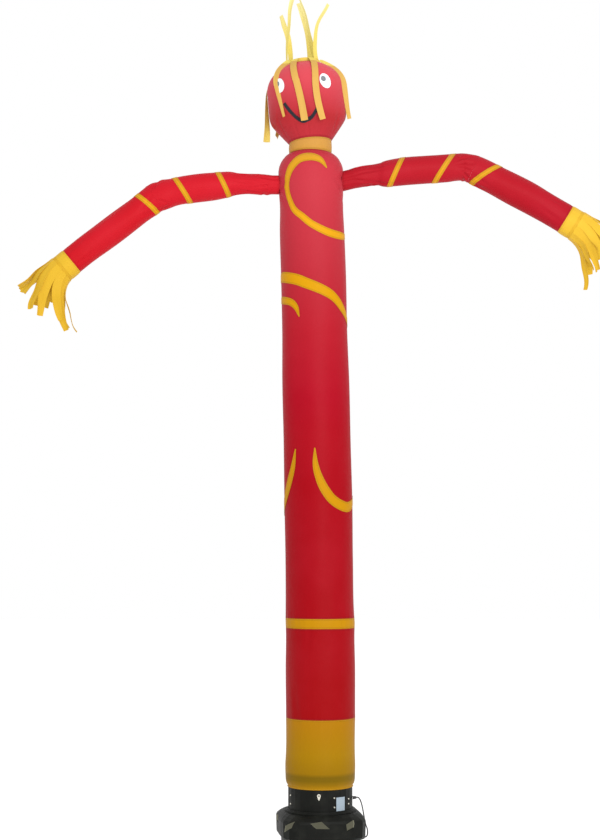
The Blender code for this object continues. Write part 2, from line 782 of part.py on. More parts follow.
def falling_path(slot, middle_azimuth, tip_azimuth, length, tip_width, stand_off):
    """Route of a ribbon over the crown and down past the side of the head."""
    start = math.radians(HAIR_SLOT * slot)
    if start > math.pi:
        start -= 2.0 * math.pi
    top = vent_height() + SEAM_GAP + HAIR_RING_HEIGHT - RIBBON_THICKNESS / 2.0
    side_height, side_radius = HEAD_ROWS[-1]
    points = [hair_frame(start, VENT_RADIUS, top)]
    normals = [hair_frame(start, 0.0, 1.0) - hair_frame(start, 0.0, 0.0)]
    widths = [HAIR_WIDTH]
    angle = math.acos(VENT_RADIUS / side_radius)
    height = vent_height()
    cell = length / FALL_STEPS
    for step in range(1, FALL_STEPS + 1):
        share = step / FALL_STEPS
        if angle > 0.0:
            stride = math.hypot(CROWN_RISE * math.cos(angle), side_radius * math.sin(angle))
            angle = max(0.0, angle - cell / stride)
            height = side_height + CROWN_RISE * math.sin(angle)
        else:
            height -= cell
        azimuth = (start * (1.0 - share) * (1.0 - 2.0 * share)
                   + math.radians(middle_azimuth) * 4.0 * share * (1.0 - share)
                   + math.radians(tip_azimuth) * share * (2.0 * share - 1.0))
        tilt = math.atan2(side_radius * math.sin(angle), CROWN_RISE * math.cos(angle))
        normal = (hair_frame(azimuth, math.cos(tilt), math.sin(tilt))
                  - hair_frame(azimuth, 0.0, 0.0))
        standing = (HAIR_CLEARANCE + ROOT_ARCH * math.exp(-share * length / ROOT_ARCH_LENGTH)
                    + stand_off * share ** 2)
        points.append(hair_frame(azimuth, side_radius * math.cos(angle), height) + normal * standing)
        normals.append(normal)
        widths.append(HAIR_WIDTH + (tip_width - HAIR_WIDTH) * share)
    return points, normals, widths


def rising_path(slot, height, travel, bow, depth):
    """Route of a ribbon that stands up in the air stream."""
    start = math.radians(HAIR_SLOT * slot)
    top = vent_height() + SEAM_GAP + HAIR_RING_HEIGHT
    root = hair_frame(start, VENT_RADIUS - RIBBON_THICKNESS / 2.0, top)
    inward = hair_frame(start, 0.0, 0.0) - hair_frame(start, 1.0, 0.0)
    points, normals, widths = [], [], []
    for step in range(RISE_STEPS + 1):
        share = step / RISE_STEPS
        bend = share ** RISE_CURVE
        side = travel * bend + bow * math.sin(math.pi * share)
        points.append(root + Vector((side, depth * bend, height * share)))
        normals.append(inward)
        widths.append(HAIR_WIDTH * (1.0 - RISE_TAPER * share))
    return points, normals, widths


def build_hair(yellow):
    base = vent_height() + SEAM_GAP
    top = base + HAIR_RING_HEIGHT
    pitch = 2.0 * math.pi * HAIR_SLOT / 360.0
    share = 2.0 * math.asin(HAIR_WIDTH / (2.0 * VENT_RADIUS)) / pitch
    count = round(360.0 / HAIR_SLOT)
    bm, faces = ribbon_ring(count, share, hair_frame, VENT_RADIUS, (base, top - RIBBON_THICKNESS, top))
    for row in FALLING_HAIR:
        add_ribbon(bm, faces[1, 2 * row[0]], *falling_path(*row))
    for row in RISING_HAIR:
        add_ribbon(bm, faces[2, 2 * row[0]], *rising_path(*row))
    finish("hair", bm, yellow, 30.0)


def hand_frames(side):
    """Centre, direction and radius at a hand's seam."""
    rows = LEFT_FORE_ROWS if side == "left" else RIGHT_FORE_ROWS
    sleeve = sleeves()[side + "_fore"]
    heading = sleeve.headings[-1]
    along = Vector((math.cos(heading), 0.0, math.sin(heading)))
    up = Vector((-along.z, 0.0, along.x)) * sleeve.outward
    centre = Vector((rows[-1][0], 0.0, rows[-1][1]))
    return centre, along, up, rows[-1][2]


def build_hands(yellow):
    for side, rows in (("left", LEFT_FRINGE), ("right", RIGHT_FRINGE)):
        centre, along, up, radius = hand_frames(side)

        def frame(angle, size, depth):
            return (centre + along * depth + up * (size * math.cos(angle))
                    + Vector((0.0, -size * math.sin(angle), 0.0)))

        wide = radius * HAND_SWELL
        stations = ((SEAM_GAP, radius), (HAND_LENGTH * 0.4, wide), (HAND_LENGTH, wide))
        outer = [[frame(angle, size, depth) for angle in azimuths(ARM_SIDES)] for depth, size in stations]
        inner = [[frame(angle, size - CLOTH, depth) for angle in azimuths(ARM_SIDES)]
                 for depth, size in stations]
        tube_wall(side + "_hand", outer, inner, yellow)

        start = HAND_LENGTH + SEAM_GAP
        end = start + FRINGE_RING
        bm, faces = ribbon_ring(len(rows), FRINGE_SHARE, frame, wide, (start, end))
        pitch = 2.0 * math.pi / len(rows)
        root_width = 2.0 * wide * math.sin(FRINGE_SHARE * pitch / 2.0)
        middle = (wide - RIBBON_THICKNESS / 2.0) * math.cos(FRINGE_SHARE * pitch / 2.0)
        for slot, (length, droop, drift, tip_width) in enumerate(rows):
            angle = slot * pitch
            point = frame(angle, middle, end)
            inward = frame(angle, 0.0, 0.0) - frame(angle, 1.0, 0.0)
            points, normals, widths = [point], [inward], [root_width]
            for step in range(1, FRINGE_STEPS + 1):
                share = step / FRINGE_STEPS
                middle_share = (step - 0.5) / FRINGE_STEPS
                fall = droop * middle_share ** FRINGE_CURVE
                heading = (along * (1.0 - FRINGE_SLOWING * fall)
                           + Vector((0.0, -drift * FRINGE_SPREAD * middle_share, -fall)))
                point = point + heading.normalized() * (length / FRINGE_STEPS)
                points.append(point)
                normals.append(inward)
                widths.append(root_width + (tip_width - root_width) * share)
            add_ribbon(bm, faces[1, 2 * slot], points, normals, widths)
        finish(side + "_fringe", bm, yellow, 30.0)


def rounded_square(half, power, height):
    """Ring of points on a rounded square, turned with the housing."""
    ring = []
    for azimuth in azimuths(HOUSING_SIDES):
        x = math.sin(azimuth)
        y = -math.cos(azimuth)
        size = half / (abs(x) ** power + abs(y) ** power) ** (1.0 / power)
        turned_x = x * math.cos(HOUSING_TURN) - y * math.sin(HOUSING_TURN)
        turned_y = x * math.sin(HOUSING_TURN) + y * math.cos(HOUSING_TURN)
        ring.append(Vector((turned_x * size, turned_y * size, height)))
    return ring


def add_inlet(bm, azimuth, corners):
    """A prism with the outline of an air inlet, from inside the wall to outside it."""
    turn = math.radians(azimuth)
    across = Vector((math.cos(turn), math.sin(turn), 0.0))
    out = Vector((math.sin(turn), -math.cos(turn), 0.0))
    inner, outer = [[bm.verts.new(across * x + out * reach + Vector((0.0, 0.0, z))) for x, z in corners]
                    for reach in INLET_REACH]
    bm.faces.new(inner)
    bm.faces.new(outer[::-1])
    for corner in range(len(corners)):
        after = (corner + 1) % len(corners)
        bm.faces.new((inner[corner], outer[corner], outer[after], inner[after]))


def build_housing(black):
    bm = bmesh.new()
    rings = [[bm.verts.new(point) for point in rounded_square(*section)]
             for section in HOUSING_ROWS]
    for ring, following in zip(rings, rings[1:]):
        for side in range(HOUSING_SIDES):
            after = (side + 1) % HOUSING_SIDES
            bm.faces.new((ring[side], ring[after], following[after], following[side]))
    bm.faces.new(rings[0][::-1])
    housing = finish("blower_housing", bm, black)
    thicken(housing, HOUSING_WALL, -1.0)
    cut = bmesh.new()
    for quarter in range(4):
        add_inlet(cut, 90.0 * quarter, SIDE_INLET)
    for half_turn in (0.0, 180.0):
        add_inlet(cut, half_turn - INLET_AZIMUTH, LEFT_INLET)
        add_inlet(cut, half_turn + INLET_AZIMUTH, RIGHT_INLET)
    bmesh.ops.recalc_face_normals(cut, faces=cut.faces)
    cutter = finish("inlet_cutter", cut, black)
    cutter.hide_render = True
    cutter.display_type = "WIRE"
    inlets = housing.modifiers.new("Inlets", "BOOLEAN")
    inlets.operation = "DIFFERENCE"
    inlets.object = cutter


def turned_ring(name, profile, material):
    """A closed profile of radius and height turned round the outlet's axis."""
    bm = bmesh.new()
    rings = [[bm.verts.new((radius * math.sin(azimuth), -radius * math.cos(azimuth), height))
              for azimuth in azimuths(BODY_SIDES)] for radius, height in profile]
    for ring, following in zip(rings, rings[1:] + rings[:1]):
        for side in range(BODY_SIDES):
            after = (side + 1) % BODY_SIDES
            bm.faces.new((ring[side], ring[after], following[after], following[side]))
    return finish(name, bm, material)


def build_collar(black):
    inside = COLLAR_RADIUS - COLLAR_WALL
    turned_ring("outlet_collar", (
        (COLLAR_RADIUS, HOUSING_HEIGHT + SEAM_GAP),
        (COLLAR_RADIUS, COLLAR_TOP - COLLAR_BEVEL),
        (COLLAR_RADIUS - COLLAR_BEVEL, COLLAR_TOP),
        (inside, COLLAR_TOP),
        (inside, HOUSING_HEIGHT + SEAM_GAP),
    ), black)
    turned_ring("outlet_flange", [(radius, HOUSING_HEIGHT + SEAM_GAP + rise) for radius, rise in FLANGE_ROWS],
                black)


def on_collar(azimuth, height, lift):
    radius = COLLAR_RADIUS + lift
    return Vector((radius * math.sin(azimuth), -radius * math.cos(azimuth), height))


def place_on_collar(obj, azimuth, height, lift):
    """Stand a fitting on the flat of the collar that lies at its azimuth."""
    pitch = 2.0 * math.pi / BODY_SIDES
    flat = (math.floor(azimuth / pitch) + 0.5) * pitch
    reach = COLLAR_RADIUS * math.cos(pitch / 2.0) / math.cos(azimuth - flat)
    outward = Vector((math.sin(flat), -math.cos(flat), 0.0))
    obj.location = (Vector((reach * math.sin(azimuth), -reach * math.cos(azimuth), height))
                    + outward * lift)
    obj.rotation_euler = (math.radians(90.0), 0.0, flat)


def build_rivets(steel):
    for number, (azimuth, height) in enumerate(RIVET_ROWS, start=1):
        bm = bmesh.new()
        bmesh.ops.create_cone(bm, cap_ends=True, segments=10, radius1=RIVET_RADIUS,
                              radius2=RIVET_RADIUS * 0.6, depth=RIVET_HEIGHT)
        rivet = finish("rivet_%d" % number, bm, steel)
        place_on_collar(rivet, math.radians(azimuth), height, SEAM_GAP + RIVET_HEIGHT / 2.0)


def build_tether_eye(steel):
    half, rise, drop = EYE_FITTING_SIZE
    outline, hole = [], []
    for angle in azimuths(EYE_FITTING_SIDES):
        x, y = math.sin(angle), math.cos(angle)
        hole.append((EYE_HOLE_RADIUS * x, EYE_HOLE_RADIUS * y))
        if y > 0.0:
            outline.append((half * x, rise * y))
        else:
            outline.append((half * x * (1.0 + EYE_TONGUE_TAPER * y), drop * y))
    bm = bmesh.new()
    rings = [[bm.verts.new((x, y, depth)) for x, y in ring]
             for ring, depth in ((outline, 0.0), (hole, 0.0), (hole, EYE_FITTING_DEPTH),
                                 (outline, EYE_FITTING_DEPTH))]
    for ring, following in zip(rings, rings[1:] + rings[:1]):
        for side in range(EYE_FITTING_SIDES):
            after = (side + 1) % EYE_FITTING_SIDES
            bm.faces.new((ring[side], ring[after], following[after], following[side]))
    eye = finish("tether_eye", bm, steel)
    place_on_collar(eye, math.radians(EYE_FITTING[0]), EYE_FITTING[1], SEAM_GAP)


def build_plate(plate_colour):
    bm = bmesh.new()
    low, high = [], []
    for column in range(PLATE_STEPS + 1):
        angle = math.radians(PLATE_AZIMUTH[0] + (PLATE_AZIMUTH[1] - PLATE_AZIMUTH[0]) * column / PLATE_STEPS)
        low.append(bm.verts.new(on_collar(angle, PLATE_HEIGHTS[0], TRIM_LIFT)))
        high.append(bm.verts.new(on_collar(angle, PLATE_HEIGHTS[1], TRIM_LIFT)))
    for column in range(PLATE_STEPS):
        bm.faces.new((low[column], low[column + 1], high[column + 1], high[column]))
    thicken_outward(finish("blank_plate", bm, plate_colour))


def build_gland(name, tip, inward, depth, material):
    """A short stub that holds one end of the lead."""
    bm = bmesh.new()
    bmesh.ops.create_cone(bm, cap_ends=True, segments=12, radius1=GLAND_RADII[0],
                          radius2=GLAND_RADII[1], depth=depth)
    gland = finish(name, bm, material)
    gland.rotation_euler = (-inward).to_track_quat("Z", "Y").to_euler()
    gland.location = tip + inward * (depth / 2.0 + SEAM_GAP)


def build_lead(black):
    curve = bpy.data.curves.new("motor_lead", "CURVE")
    curve.dimensions = "3D"
    curve.bevel_depth = LEAD_RADIUS
    curve.bevel_resolution = 2
    curve.use_fill_caps = True
    points = smooth_rows(LEAD_ROUTE, 2)
    spline = curve.splines.new("POLY")
    spline.points.add(len(points) - 1)
    for target, point in zip(spline.points, points):
        target.co = (*point, 1.0)
    curve.materials.append(black)
    lead = bpy.data.objects.new("motor_lead", curve)
    bpy.context.scene.collection.objects.link(lead)
    for name, tip, before, depth in (("collar_gland", points[0], points[1], COLLAR_GLAND_DEPTH),
                                     ("housing_gland", points[-1], points[-2], HOUSING_GLAND_DEPTH)):
        build_gland(name, Vector(tip), (Vector(tip) - Vector(before)).normalized(), depth, black)


def main():
    for obj in list(bpy.data.objects):
        bpy.data.objects.remove(obj, do_unlink=True)
    red = make_material("red_nylon", (0.62, 0.03, 0.06), 0.55)
    yellow = make_material("yellow_nylon", (0.80, 0.45, 0.04), 0.55)
    white = make_material("white_nylon", (0.85, 0.87, 0.86), 0.5)
    grey = make_material("grey_nylon", (0.30, 0.31, 0.33), 0.5)
    dark = make_material("black_nylon", (0.03, 0.03, 0.04), 0.5)
    housing_black = make_material("black_plastic", (0.02, 0.02, 0.022), 0.45)
    lead_black = make_material("lead_rubber", (0.015, 0.015, 0.015), 0.5)
    steel = make_material("zinc_steel", (0.62, 0.62, 0.60), 0.35, 1.0)
    plate_colour = make_material("plate_aluminium", (0.62, 0.66, 0.72), 0.4, 0.6)

    build_housing(housing_black)
    build_collar(housing_black)
    build_rivets(steel)
    build_tether_eye(steel)
    build_plate(plate_colour)
    build_lead(lead_black)
    build_body(red, yellow)
    build_neck(yellow)
    build_head(red)
    build_arms(red)
    build_bands(yellow)
    build_hands(yellow)
    build_swirls(yellow)
    build_face(white, grey, dark)
    build_hair(yellow)


main()
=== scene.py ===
import math

import bpy
import numpy as np
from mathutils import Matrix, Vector


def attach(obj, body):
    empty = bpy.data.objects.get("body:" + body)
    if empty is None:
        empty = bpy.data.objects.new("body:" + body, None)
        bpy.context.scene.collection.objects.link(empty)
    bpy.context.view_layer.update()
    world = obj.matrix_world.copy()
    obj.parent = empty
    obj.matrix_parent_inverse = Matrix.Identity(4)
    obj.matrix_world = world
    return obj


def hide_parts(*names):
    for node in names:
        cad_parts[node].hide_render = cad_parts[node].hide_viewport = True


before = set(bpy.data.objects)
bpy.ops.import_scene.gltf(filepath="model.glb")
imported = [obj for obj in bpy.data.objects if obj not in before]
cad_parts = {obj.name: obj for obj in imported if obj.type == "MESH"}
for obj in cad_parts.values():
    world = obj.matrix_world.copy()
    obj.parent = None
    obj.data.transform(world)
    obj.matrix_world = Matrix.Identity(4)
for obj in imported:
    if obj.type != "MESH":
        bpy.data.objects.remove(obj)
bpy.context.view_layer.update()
bpy.ops.object.select_all(action="DESELECT")

# Camera: ten metres in front, low and tilted up a little, with the whole dancer from the blower's
# shoulder to the ribbons over its head in an upright frame.
LENS_PIXELS = 1500.0
FRAME_PIXELS = 840.0
camera_data = bpy.data.cameras.new("camera")
camera_data.sensor_fit = "VERTICAL"
camera_data.sensor_height = 36.0
camera_data.lens = 36.0 * LENS_PIXELS / FRAME_PIXELS
camera_data.clip_end = 200.0
camera = bpy.data.objects.new("camera", camera_data)
camera.location = (-0.134, -10.1, 2.02)
camera.rotation_euler = (math.radians(95.3), 0.0, 0.0)
bpy.context.scene.collection.objects.link(camera)
bpy.context.scene.camera = camera
bpy.context.scene.view_settings.view_transform = "Standard"


# Motor lead: a thin black rubber cable that leaves a gland on the outlet collar, hangs in a bow outside
# the blower, and goes back into a gland on the housing. Its finish is matte rubber with faint scuffs.
class Shade:
    """A socket of a material. Sums and products of it add the nodes that work them out."""

    def __init__(self, tree, socket=None):
        self.tree = tree
        self.socket = socket

    def add(self, kind, links=None, output=0, stops=None, **settings):
        node = self.tree.nodes.new(kind)
        for name, setting in settings.items():
            setattr(node, name, setting)
        if stops:
            ramp = node.color_ramp.elements
            while len(ramp) < len(stops):
                ramp.new(0.5)
            for element, (place, colour) in zip(ramp, stops):
                element.position = place
                element.color = colour
        for name, value in (links or {}).items():
            if isinstance(value, Shade):
                self.tree.links.new(value.socket, node.inputs[name])
            else:
                node.inputs[name].default_value = value
        return Shade(self.tree, node.outputs[output])

    def maths(self, operation, first, second):
        return self.add("ShaderNodeMath", {0: first, 1: second}, operation=operation)

    def __add__(self, other):
        return self.maths("ADD", self, other)

    def __radd__(self, other):
        return self.maths("ADD", other, self)

    def __sub__(self, other):
        return self.maths("SUBTRACT", self, other)

    def __rsub__(self, other):
        return self.maths("SUBTRACT", other, self)

    def __mul__(self, other):
        return self.maths("MULTIPLY", self, other)

    def __rmul__(self, other):
        return self.maths("MULTIPLY", other, self)

    def __lt__(self, other):
        return self.maths("LESS_THAN", self, other)

    def __gt__(self, other):
        return self.maths("GREATER_THAN", self, other)

    def part(self, name):
        """One of the parts X, Y and Z of a vector."""
        return self.add("ShaderNodeSeparateXYZ", {0: self}, output=name)

    def absolute(self):
        return self.maths("ABSOLUTE", self, 0.0)

    def repeat(self):
        """The fraction of the value, from 0 up to 1 and over again."""
        return self.add("ShaderNodeMath", {0: self}, operation="FRACT")

    def fade(self, start, end):
        """0 where the value is start, 1 where it is end, and smooth between."""
        return self.add("ShaderNodeMapRange", {"Value": self, "From Min": start, "From Max": end},
                        interpolation_type="SMOOTHSTEP")

    def grain(self, scale, detail=2.0, roughness=0.5):
        return self.add("ShaderNodeTexNoise", {"Vector": self, "Scale": scale, "Detail": detail,
                                               "Roughness": roughness})

    def tint(self, colour, other):
        """A colour that goes to the other one as the value goes from 0 to 1."""
        return self.add("ShaderNodeMix", {"Factor": self, "A": colour, "B": other}, output="Result",
                        data_type="RGBA")


def linear(red, green, blue):
    """A colour as the eye sees it, from 0 to 255, in the light's own measure and opaque."""
    return tuple(part / 12.92 if part <= 0.04045 else ((part + 0.055) / 1.055) ** 2.4
                 for part in (red / 255.0, green / 255.0, blue / 255.0)) + (1.0,)


def start_material(name, roughness, **sockets):
    material = bpy.data.materials.new(name)
    material.use_nodes = True
    shader = material.node_tree.nodes["Principled BSDF"]
    shader.inputs["Roughness"].default_value = roughness
    for socket, value in sockets.items():
        shader.inputs[socket.replace("_", " ")].default_value = value
    return material, shader, Shade(material.node_tree)


def connect(material, shader, **sockets):
    for socket, value in sockets.items():
        material.node_tree.links.new(value.socket, shader.inputs[socket.replace("_", " ")])


def bump(root, height, distance, strength=1.0):
    return root.add("ShaderNodeBump", {"Height": height, "Distance": distance, "Strength": strength})


rubber, shader, root = start_material("cable_rubber", 0.55)
place = root.add("ShaderNodeTexCoord", output="Object")
scuffs = place.grain(180.0, 4.0)
connect(rubber, shader,
        Base_Color=scuffs.fade(0.45, 0.75).tint(linear(26, 26, 27), linear(58, 57, 55)),
        Roughness=scuffs * 0.3 + 0.4,
        Normal=bump(root, place.grain(900.0), 0.0002))

LEAD_DIAMETER = 0.008
LEAD_ROUTE = (
    (0.2375, -0.0200, 0.4560),
    (0.2490, -0.0199, 0.4556),
    (0.2600, -0.0180, 0.4440),
    (0.2710, -0.0120, 0.4170),
    (0.2800, -0.0040, 0.3790),
    (0.2880, 0.0040, 0.3350),
    (0.2990, 0.0090, 0.2810),
    (0.3110, 0.0110, 0.2430),
    (0.3120, 0.0110, 0.2170),
    (0.3050, 0.0110, 0.1990),
    (0.2910, 0.0110, 0.1925),
)


def smooth_rows(rows, steps):
    """The rows of a table with more rows between them, on a curve through all of them."""
    rows = np.array(rows, float)
    index = np.arange(len(rows))
    fine = np.linspace(0.0, len(rows) - 1, (len(rows) - 1) * steps + 1)
    return np.stack([through(index, rows[:, column], fine) for column in range(rows.shape[1])], axis=1)


def through(places, values, wanted):
    """Values at the wanted places, on a smooth curve through the given ones."""
    slopes = np.gradient(values, places)
    low = np.clip(np.searchsorted(places, wanted) - 1, 0, len(places) - 2)
    gap = places[low + 1] - places[low]
    t = (wanted - places[low]) / gap
    return ((2 * t ** 3 - 3 * t ** 2 + 1) * values[low] + (t ** 3 - 2 * t ** 2 + t) * gap * slopes[low]
            + (3 * t ** 2 - 2 * t ** 3) * values[low + 1] + (t ** 3 - t ** 2) * gap * slopes[low + 1])


lead_curve = bpy.data.curves.new("cable", "CURVE")
lead_curve.dimensions = "3D"
lead_curve.bevel_depth = LEAD_DIAMETER / 2.0
lead_curve.bevel_resolution = 5
lead_curve.use_fill_caps = True
lead_points = smooth_rows(LEAD_ROUTE, 4)
spline = lead_curve.splines.new("POLY")
spline.points.add(len(lead_points) - 1)
for target, point in zip(spline.points, lead_points):
    target.co = (*point, 1.0)
lead_curve.materials.append(rubber)
cable = bpy.data.objects.new("cable", lead_curve)
bpy.context.scene.collection.objects.link(cable)


def dress(nodes, material):
    """Gives solids of the frame a material."""
    for node in nodes:
        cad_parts[node].data.materials.clear()
        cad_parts[node].data.materials.append(material)


dress(("collar_gland", "housing_gland"), rubber)
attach(cable, "root")
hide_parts("motor_lead")

# Stage: a plain white floor that runs out of sight under a white sky, with one wide soft lamp in
# front, so that the cloth is lit nearly evenly, as outdoors on a bright dull day.
bpy.ops.mesh.primitive_plane_add(size=80.0, location=(0.0, 0.0, -0.0005))
floor = bpy.context.object
floor.name = "floor"
white_floor, shader, root = start_material("white_floor", 0.9, Specular_IOR_Level=0.1,
                                           Base_Color=(0.80, 0.80, 0.80, 1.0),
                                           Emission_Color=(1.0, 1.0, 1.0, 1.0), Emission_Strength=0.30)
floor.data.materials.append(white_floor)
sky = bpy.data.worlds.new("sky")
sky.use_nodes = True
sky.node_tree.nodes["Background"].inputs["Color"].default_value = (1.0, 1.0, 1.0, 1.0)
sky.node_tree.nodes["Background"].inputs["Strength"].default_value = 1.0
bpy.context.scene.world = sky
lamp_data = bpy.data.lights.new("soft_lamp", "AREA")
lamp_data.shape = "DISK"
lamp_data.size = 5.0
lamp_data.energy = 450.0
lamp = bpy.data.objects.new("soft_lamp", lamp_data)
lamp.location = (2.4, -8.5, 4.4)
lamp.rotation_euler = (Vector((0.0, 0.0, 3.3)) - lamp.location).to_track_quat("-Z", "Y").to_euler()
bpy.context.scene.collection.objects.link(lamp)

# Blower: a rounded black housing and collar of moulded polyethylene with a fine orange-peel skin, greyer
# where the edges have rubbed. Inside it is painted light: light grey with a glow, standing in for the
# daylight that comes in through the inlets. The collar stands on it in a ridged flange.
plastic, shader, root = start_material("moulded_black", 0.5, Specular_IOR_Level=0.11, Emission_Strength=1.0)
place = root.add("ShaderNodeTexCoord", output="Object")
marks = place.grain(9.0, 5.0, 0.6)
dust = place.grain(60.0, 4.0)
skin = marks.fade(0.40, 0.72).tint(linear(14, 15, 12), linear(27, 28, 24))
INSIDE_TOP = 0.345
facing = root.add("ShaderNodeNewGeometry", output="Normal")
outwards = place.part("X") * facing.part("X") + place.part("Y") * facing.part("Y")
# Painted light: inner walls below INSIDE_TOP are painted light grey and made to glow, as daylight coming in
# through the inlets
inside = (outwards < -0.02) * (place.part("Z") < INSIDE_TOP)
connect(plastic, shader,
        Base_Color=inside.tint(skin, linear(112, 110, 94)),
        Emission_Color=inside.tint((0.0, 0.0, 0.0, 1.0), linear(92, 91, 78)),
        Roughness=marks * 0.25 + dust * 0.15 + 0.32,
        Normal=bump(root, place.grain(420.0, 2.0), 0.0006))
dress(("blower_housing", "outlet_collar", "outlet_flange"), plastic)

# Fittings on the collar: zinc-plated rivets, a flat eye for the guy rope and a bare brushed plate.
zinc, shader, root = start_material("zinc_plate", 0.35, Metallic=0.7)
place = root.add("ShaderNodeTexCoord", output="Object")
connect(zinc, shader,
        Base_Color=place.grain(300.0, 3.0).tint(linear(170, 165, 150), linear(235, 232, 220)),
        Roughness=place.grain(500.0) * 0.4 + 0.2)
dress(["rivet_%d" % number for number in range(1, 7)] + ["tether_eye"], zinc)
brushed, shader, root = start_material("brushed_plate", 0.4, Metallic=0.3)
place = root.add("ShaderNodeTexCoord", output="Object")
streaks = root.add("ShaderNodeMapping", {"Vector": place, "Scale": (40.0, 40.0, 2500.0)}).grain(1.0, 3.0)
connect(brushed, shader,
        Base_Color=streaks.tint(linear(128, 142, 152), linear(166, 180, 192)),
        Roughness=streaks * 0.3 + 0.25,
        Normal=bump(root, streaks, 0.0001))
dress(["blank_plate"], brushed)


# Body: one straight tube of thin ripstop nylon, sewn from a yellow cuff, a red lower panel, a yellow
# waist band and a long red panel with the rounded shoulder. Air fills it; each seam gathers it slightly.
CLOTH = 0.0015
SEAM_GAP = 0.0003


def nylon(name, stops, stitch, glow=(0, 0, 0), painted_head_light=None):
    """Ripstop nylon. stops gives its colour at heights, painted lighter towards the top as painted light, where
    more daylight comes through the cloth, and darker at some heights as painted shade.

    glow is painted light that stands in for the light coming through it. Where the red head lies behind it,
    its colour is painted light too: the head's red shining through.
    """
    material, shader, root = start_material(name, 0.48, Specular_IOR_Level=0.06, Emission_Strength=1.0,
                                            Emission_Color=linear(*glow))
    place = root.add("ShaderNodeTexCoord", output="Object")
    across = root.add("ShaderNodeTexCoord", output="UV")
    seam = root.add("ShaderNodeAttribute", attribute_name="seam", output="Fac")
    # Painted light and shade: the colour ramp by height stands in for how the daylight falls on and through the
    # cloth
    height = place.part("Z") * (1.0 / 6.0)
    colour = root.add("ShaderNodeValToRGB", {"Fac": height},
                      stops=[(level / 6.0, linear(*shade)) for level, shade in stops])
    # Painted light: where the red head lies behind the cloth, it is painted the colour of the head's red light
    # coming through it
    if painted_head_light:
        middle, edge, crown = -0.045, 0.285, 5.40
        front = (place.part("X") - middle).absolute().fade(edge, edge - 0.035) * (place.part("Z") < crown)
        colour = front.tint(colour, linear(*painted_head_light))
    cloud = place.grain(1.7, 3.0, 0.6)
    colour = (cloud.fade(0.35, 0.75) * 0.07).tint(colour, linear(*stitch[0]))
    # The seam allowances beside each seam are real doubled cloth; they are painted darker as painted shade, where
    # the second layer holds back the light coming through
    seam_allowance_shade = 1.0 - seam.fade(0.010, 0.013)
    colour = (seam_allowance_shade * 0.30).tint(colour, linear(*stitch[1]))
    u, v = across.part("X"), across.part("Y")
    row = (seam - 0.0045).absolute() < 0.0007
    thread = row * ((u * 280.0).repeat() < 0.62)
    colour = (thread * 0.6).tint(colour, linear(*stitch[2]))
    ridge_u = (u * 170.0).repeat() < 0.10
    ridge_v = (v * 170.0).repeat() < 0.10
    crinkle = across.grain(34.0, 5.0, 0.62)
    fine = across.grain(220.0, 3.0, 0.6)
    relief = crinkle * 0.8 + fine * 0.12 + (ridge_u + ridge_v) * 0.03 + thread * 0.15
    connect(material, shader, Base_Color=colour,
            Roughness=crinkle * 0.16 + 0.40,
            Normal=bump(root, relief, 0.0022))
    return material


# Painted light: the red is painted lighter towards the top and on the head, where more daylight falls on and
# through the cloth, with painted shade at 5.0 m on the underside of the head
RED_HEIGHTS = ((1.0, (139, 2, 6)), (1.75, (143, 2, 13)), (2.15, (144, 2, 15)), (2.82, (148, 2, 17)),
               (3.09, (152, 4, 25)), (3.54, (158, 21, 34)), (4.05, (166, 40, 51)), (4.54, (176, 49, 60)),
               (4.8, (174, 47, 58)), (5.0, (162, 39, 43)), (5.17, (186, 60, 70)), (5.45, (212, 83, 93)))
red = nylon("red_ripstop", RED_HEIGHTS, stitch=((206, 52, 74), (104, 3, 12), (190, 50, 62)))
# Painted light and shade: the yellow is painted lighter towards the top, with a lighter painted edge at the hem
# and, from 0.57 to 0.61 m, a dark band of painted shade where the black collar inside lets no light through
yellow = nylon("yellow_ripstop", ((0.540, (160, 116, 10)), (0.556, (150, 108, 8)), (0.568, (113, 87, 3)),
                                  (0.610, (109, 83, 3)), (0.622, (136, 100, 2)), (0.75, (149, 109, 2)),
                                  (0.95, (157, 107, 4)),
                                  (1.6, (172, 121, 2)), (2.4, (179, 126, 2)), (3.8, (191, 137, 2)),
                                  (4.3, (206, 147, 18)), (4.7, (198, 143, 30)), (4.83, (188, 138, 67))),
               stitch=((216, 164, 40), (128, 90, 4), (222, 180, 64)))

BODY_ROWS = np.array((
    (0.530, 0.000, 0.2185),
    (0.537, 0.000, 0.2143),
    (0.549, 0.000, 0.2225),
    (0.566, 0.000, 0.2275),
    (0.605, 0.000, 0.2302),
    (0.665, 0.000, 0.2317),
    (0.750, 0.001, 0.2285),
    (0.976, 0.002, 0.2291),
    (1.290, 0.002, 0.2315),
    (1.565, 0.002, 0.2297),
    (1.597, 0.002, 0.2310),
    (1.630, 0.001, 0.2297),
    (2.020, -0.003, 0.2262),
    (2.400, -0.009, 0.2286),
    (2.800, -0.019, 0.2262),
    (3.220, -0.029, 0.2270),
    (3.550, -0.035, 0.2212),
    (3.960, -0.042, 0.2220),
    (4.280, -0.052, 0.2200),
    (4.420, -0.055, 0.2160),
    (4.530, -0.059, 0.2195),
    (4.655, -0.060, 0.2228),
))
HEM_BOTTOM, CUFF_TOP, WAIST_BOTTOM, WAIST_TOP = 0.530, 0.976, 1.565, 1.630
SHOULDER_START, SHOULDER_RISE, SHOULDER_TOP = 4.655, 0.145, 4.789
NECK_RADIUS = 0.1445
BODY_SCALE = 0.225
BODY_CELLS = 132
PUCKER_DEPTH = 0.0024
PUCKER_REACH = 0.045
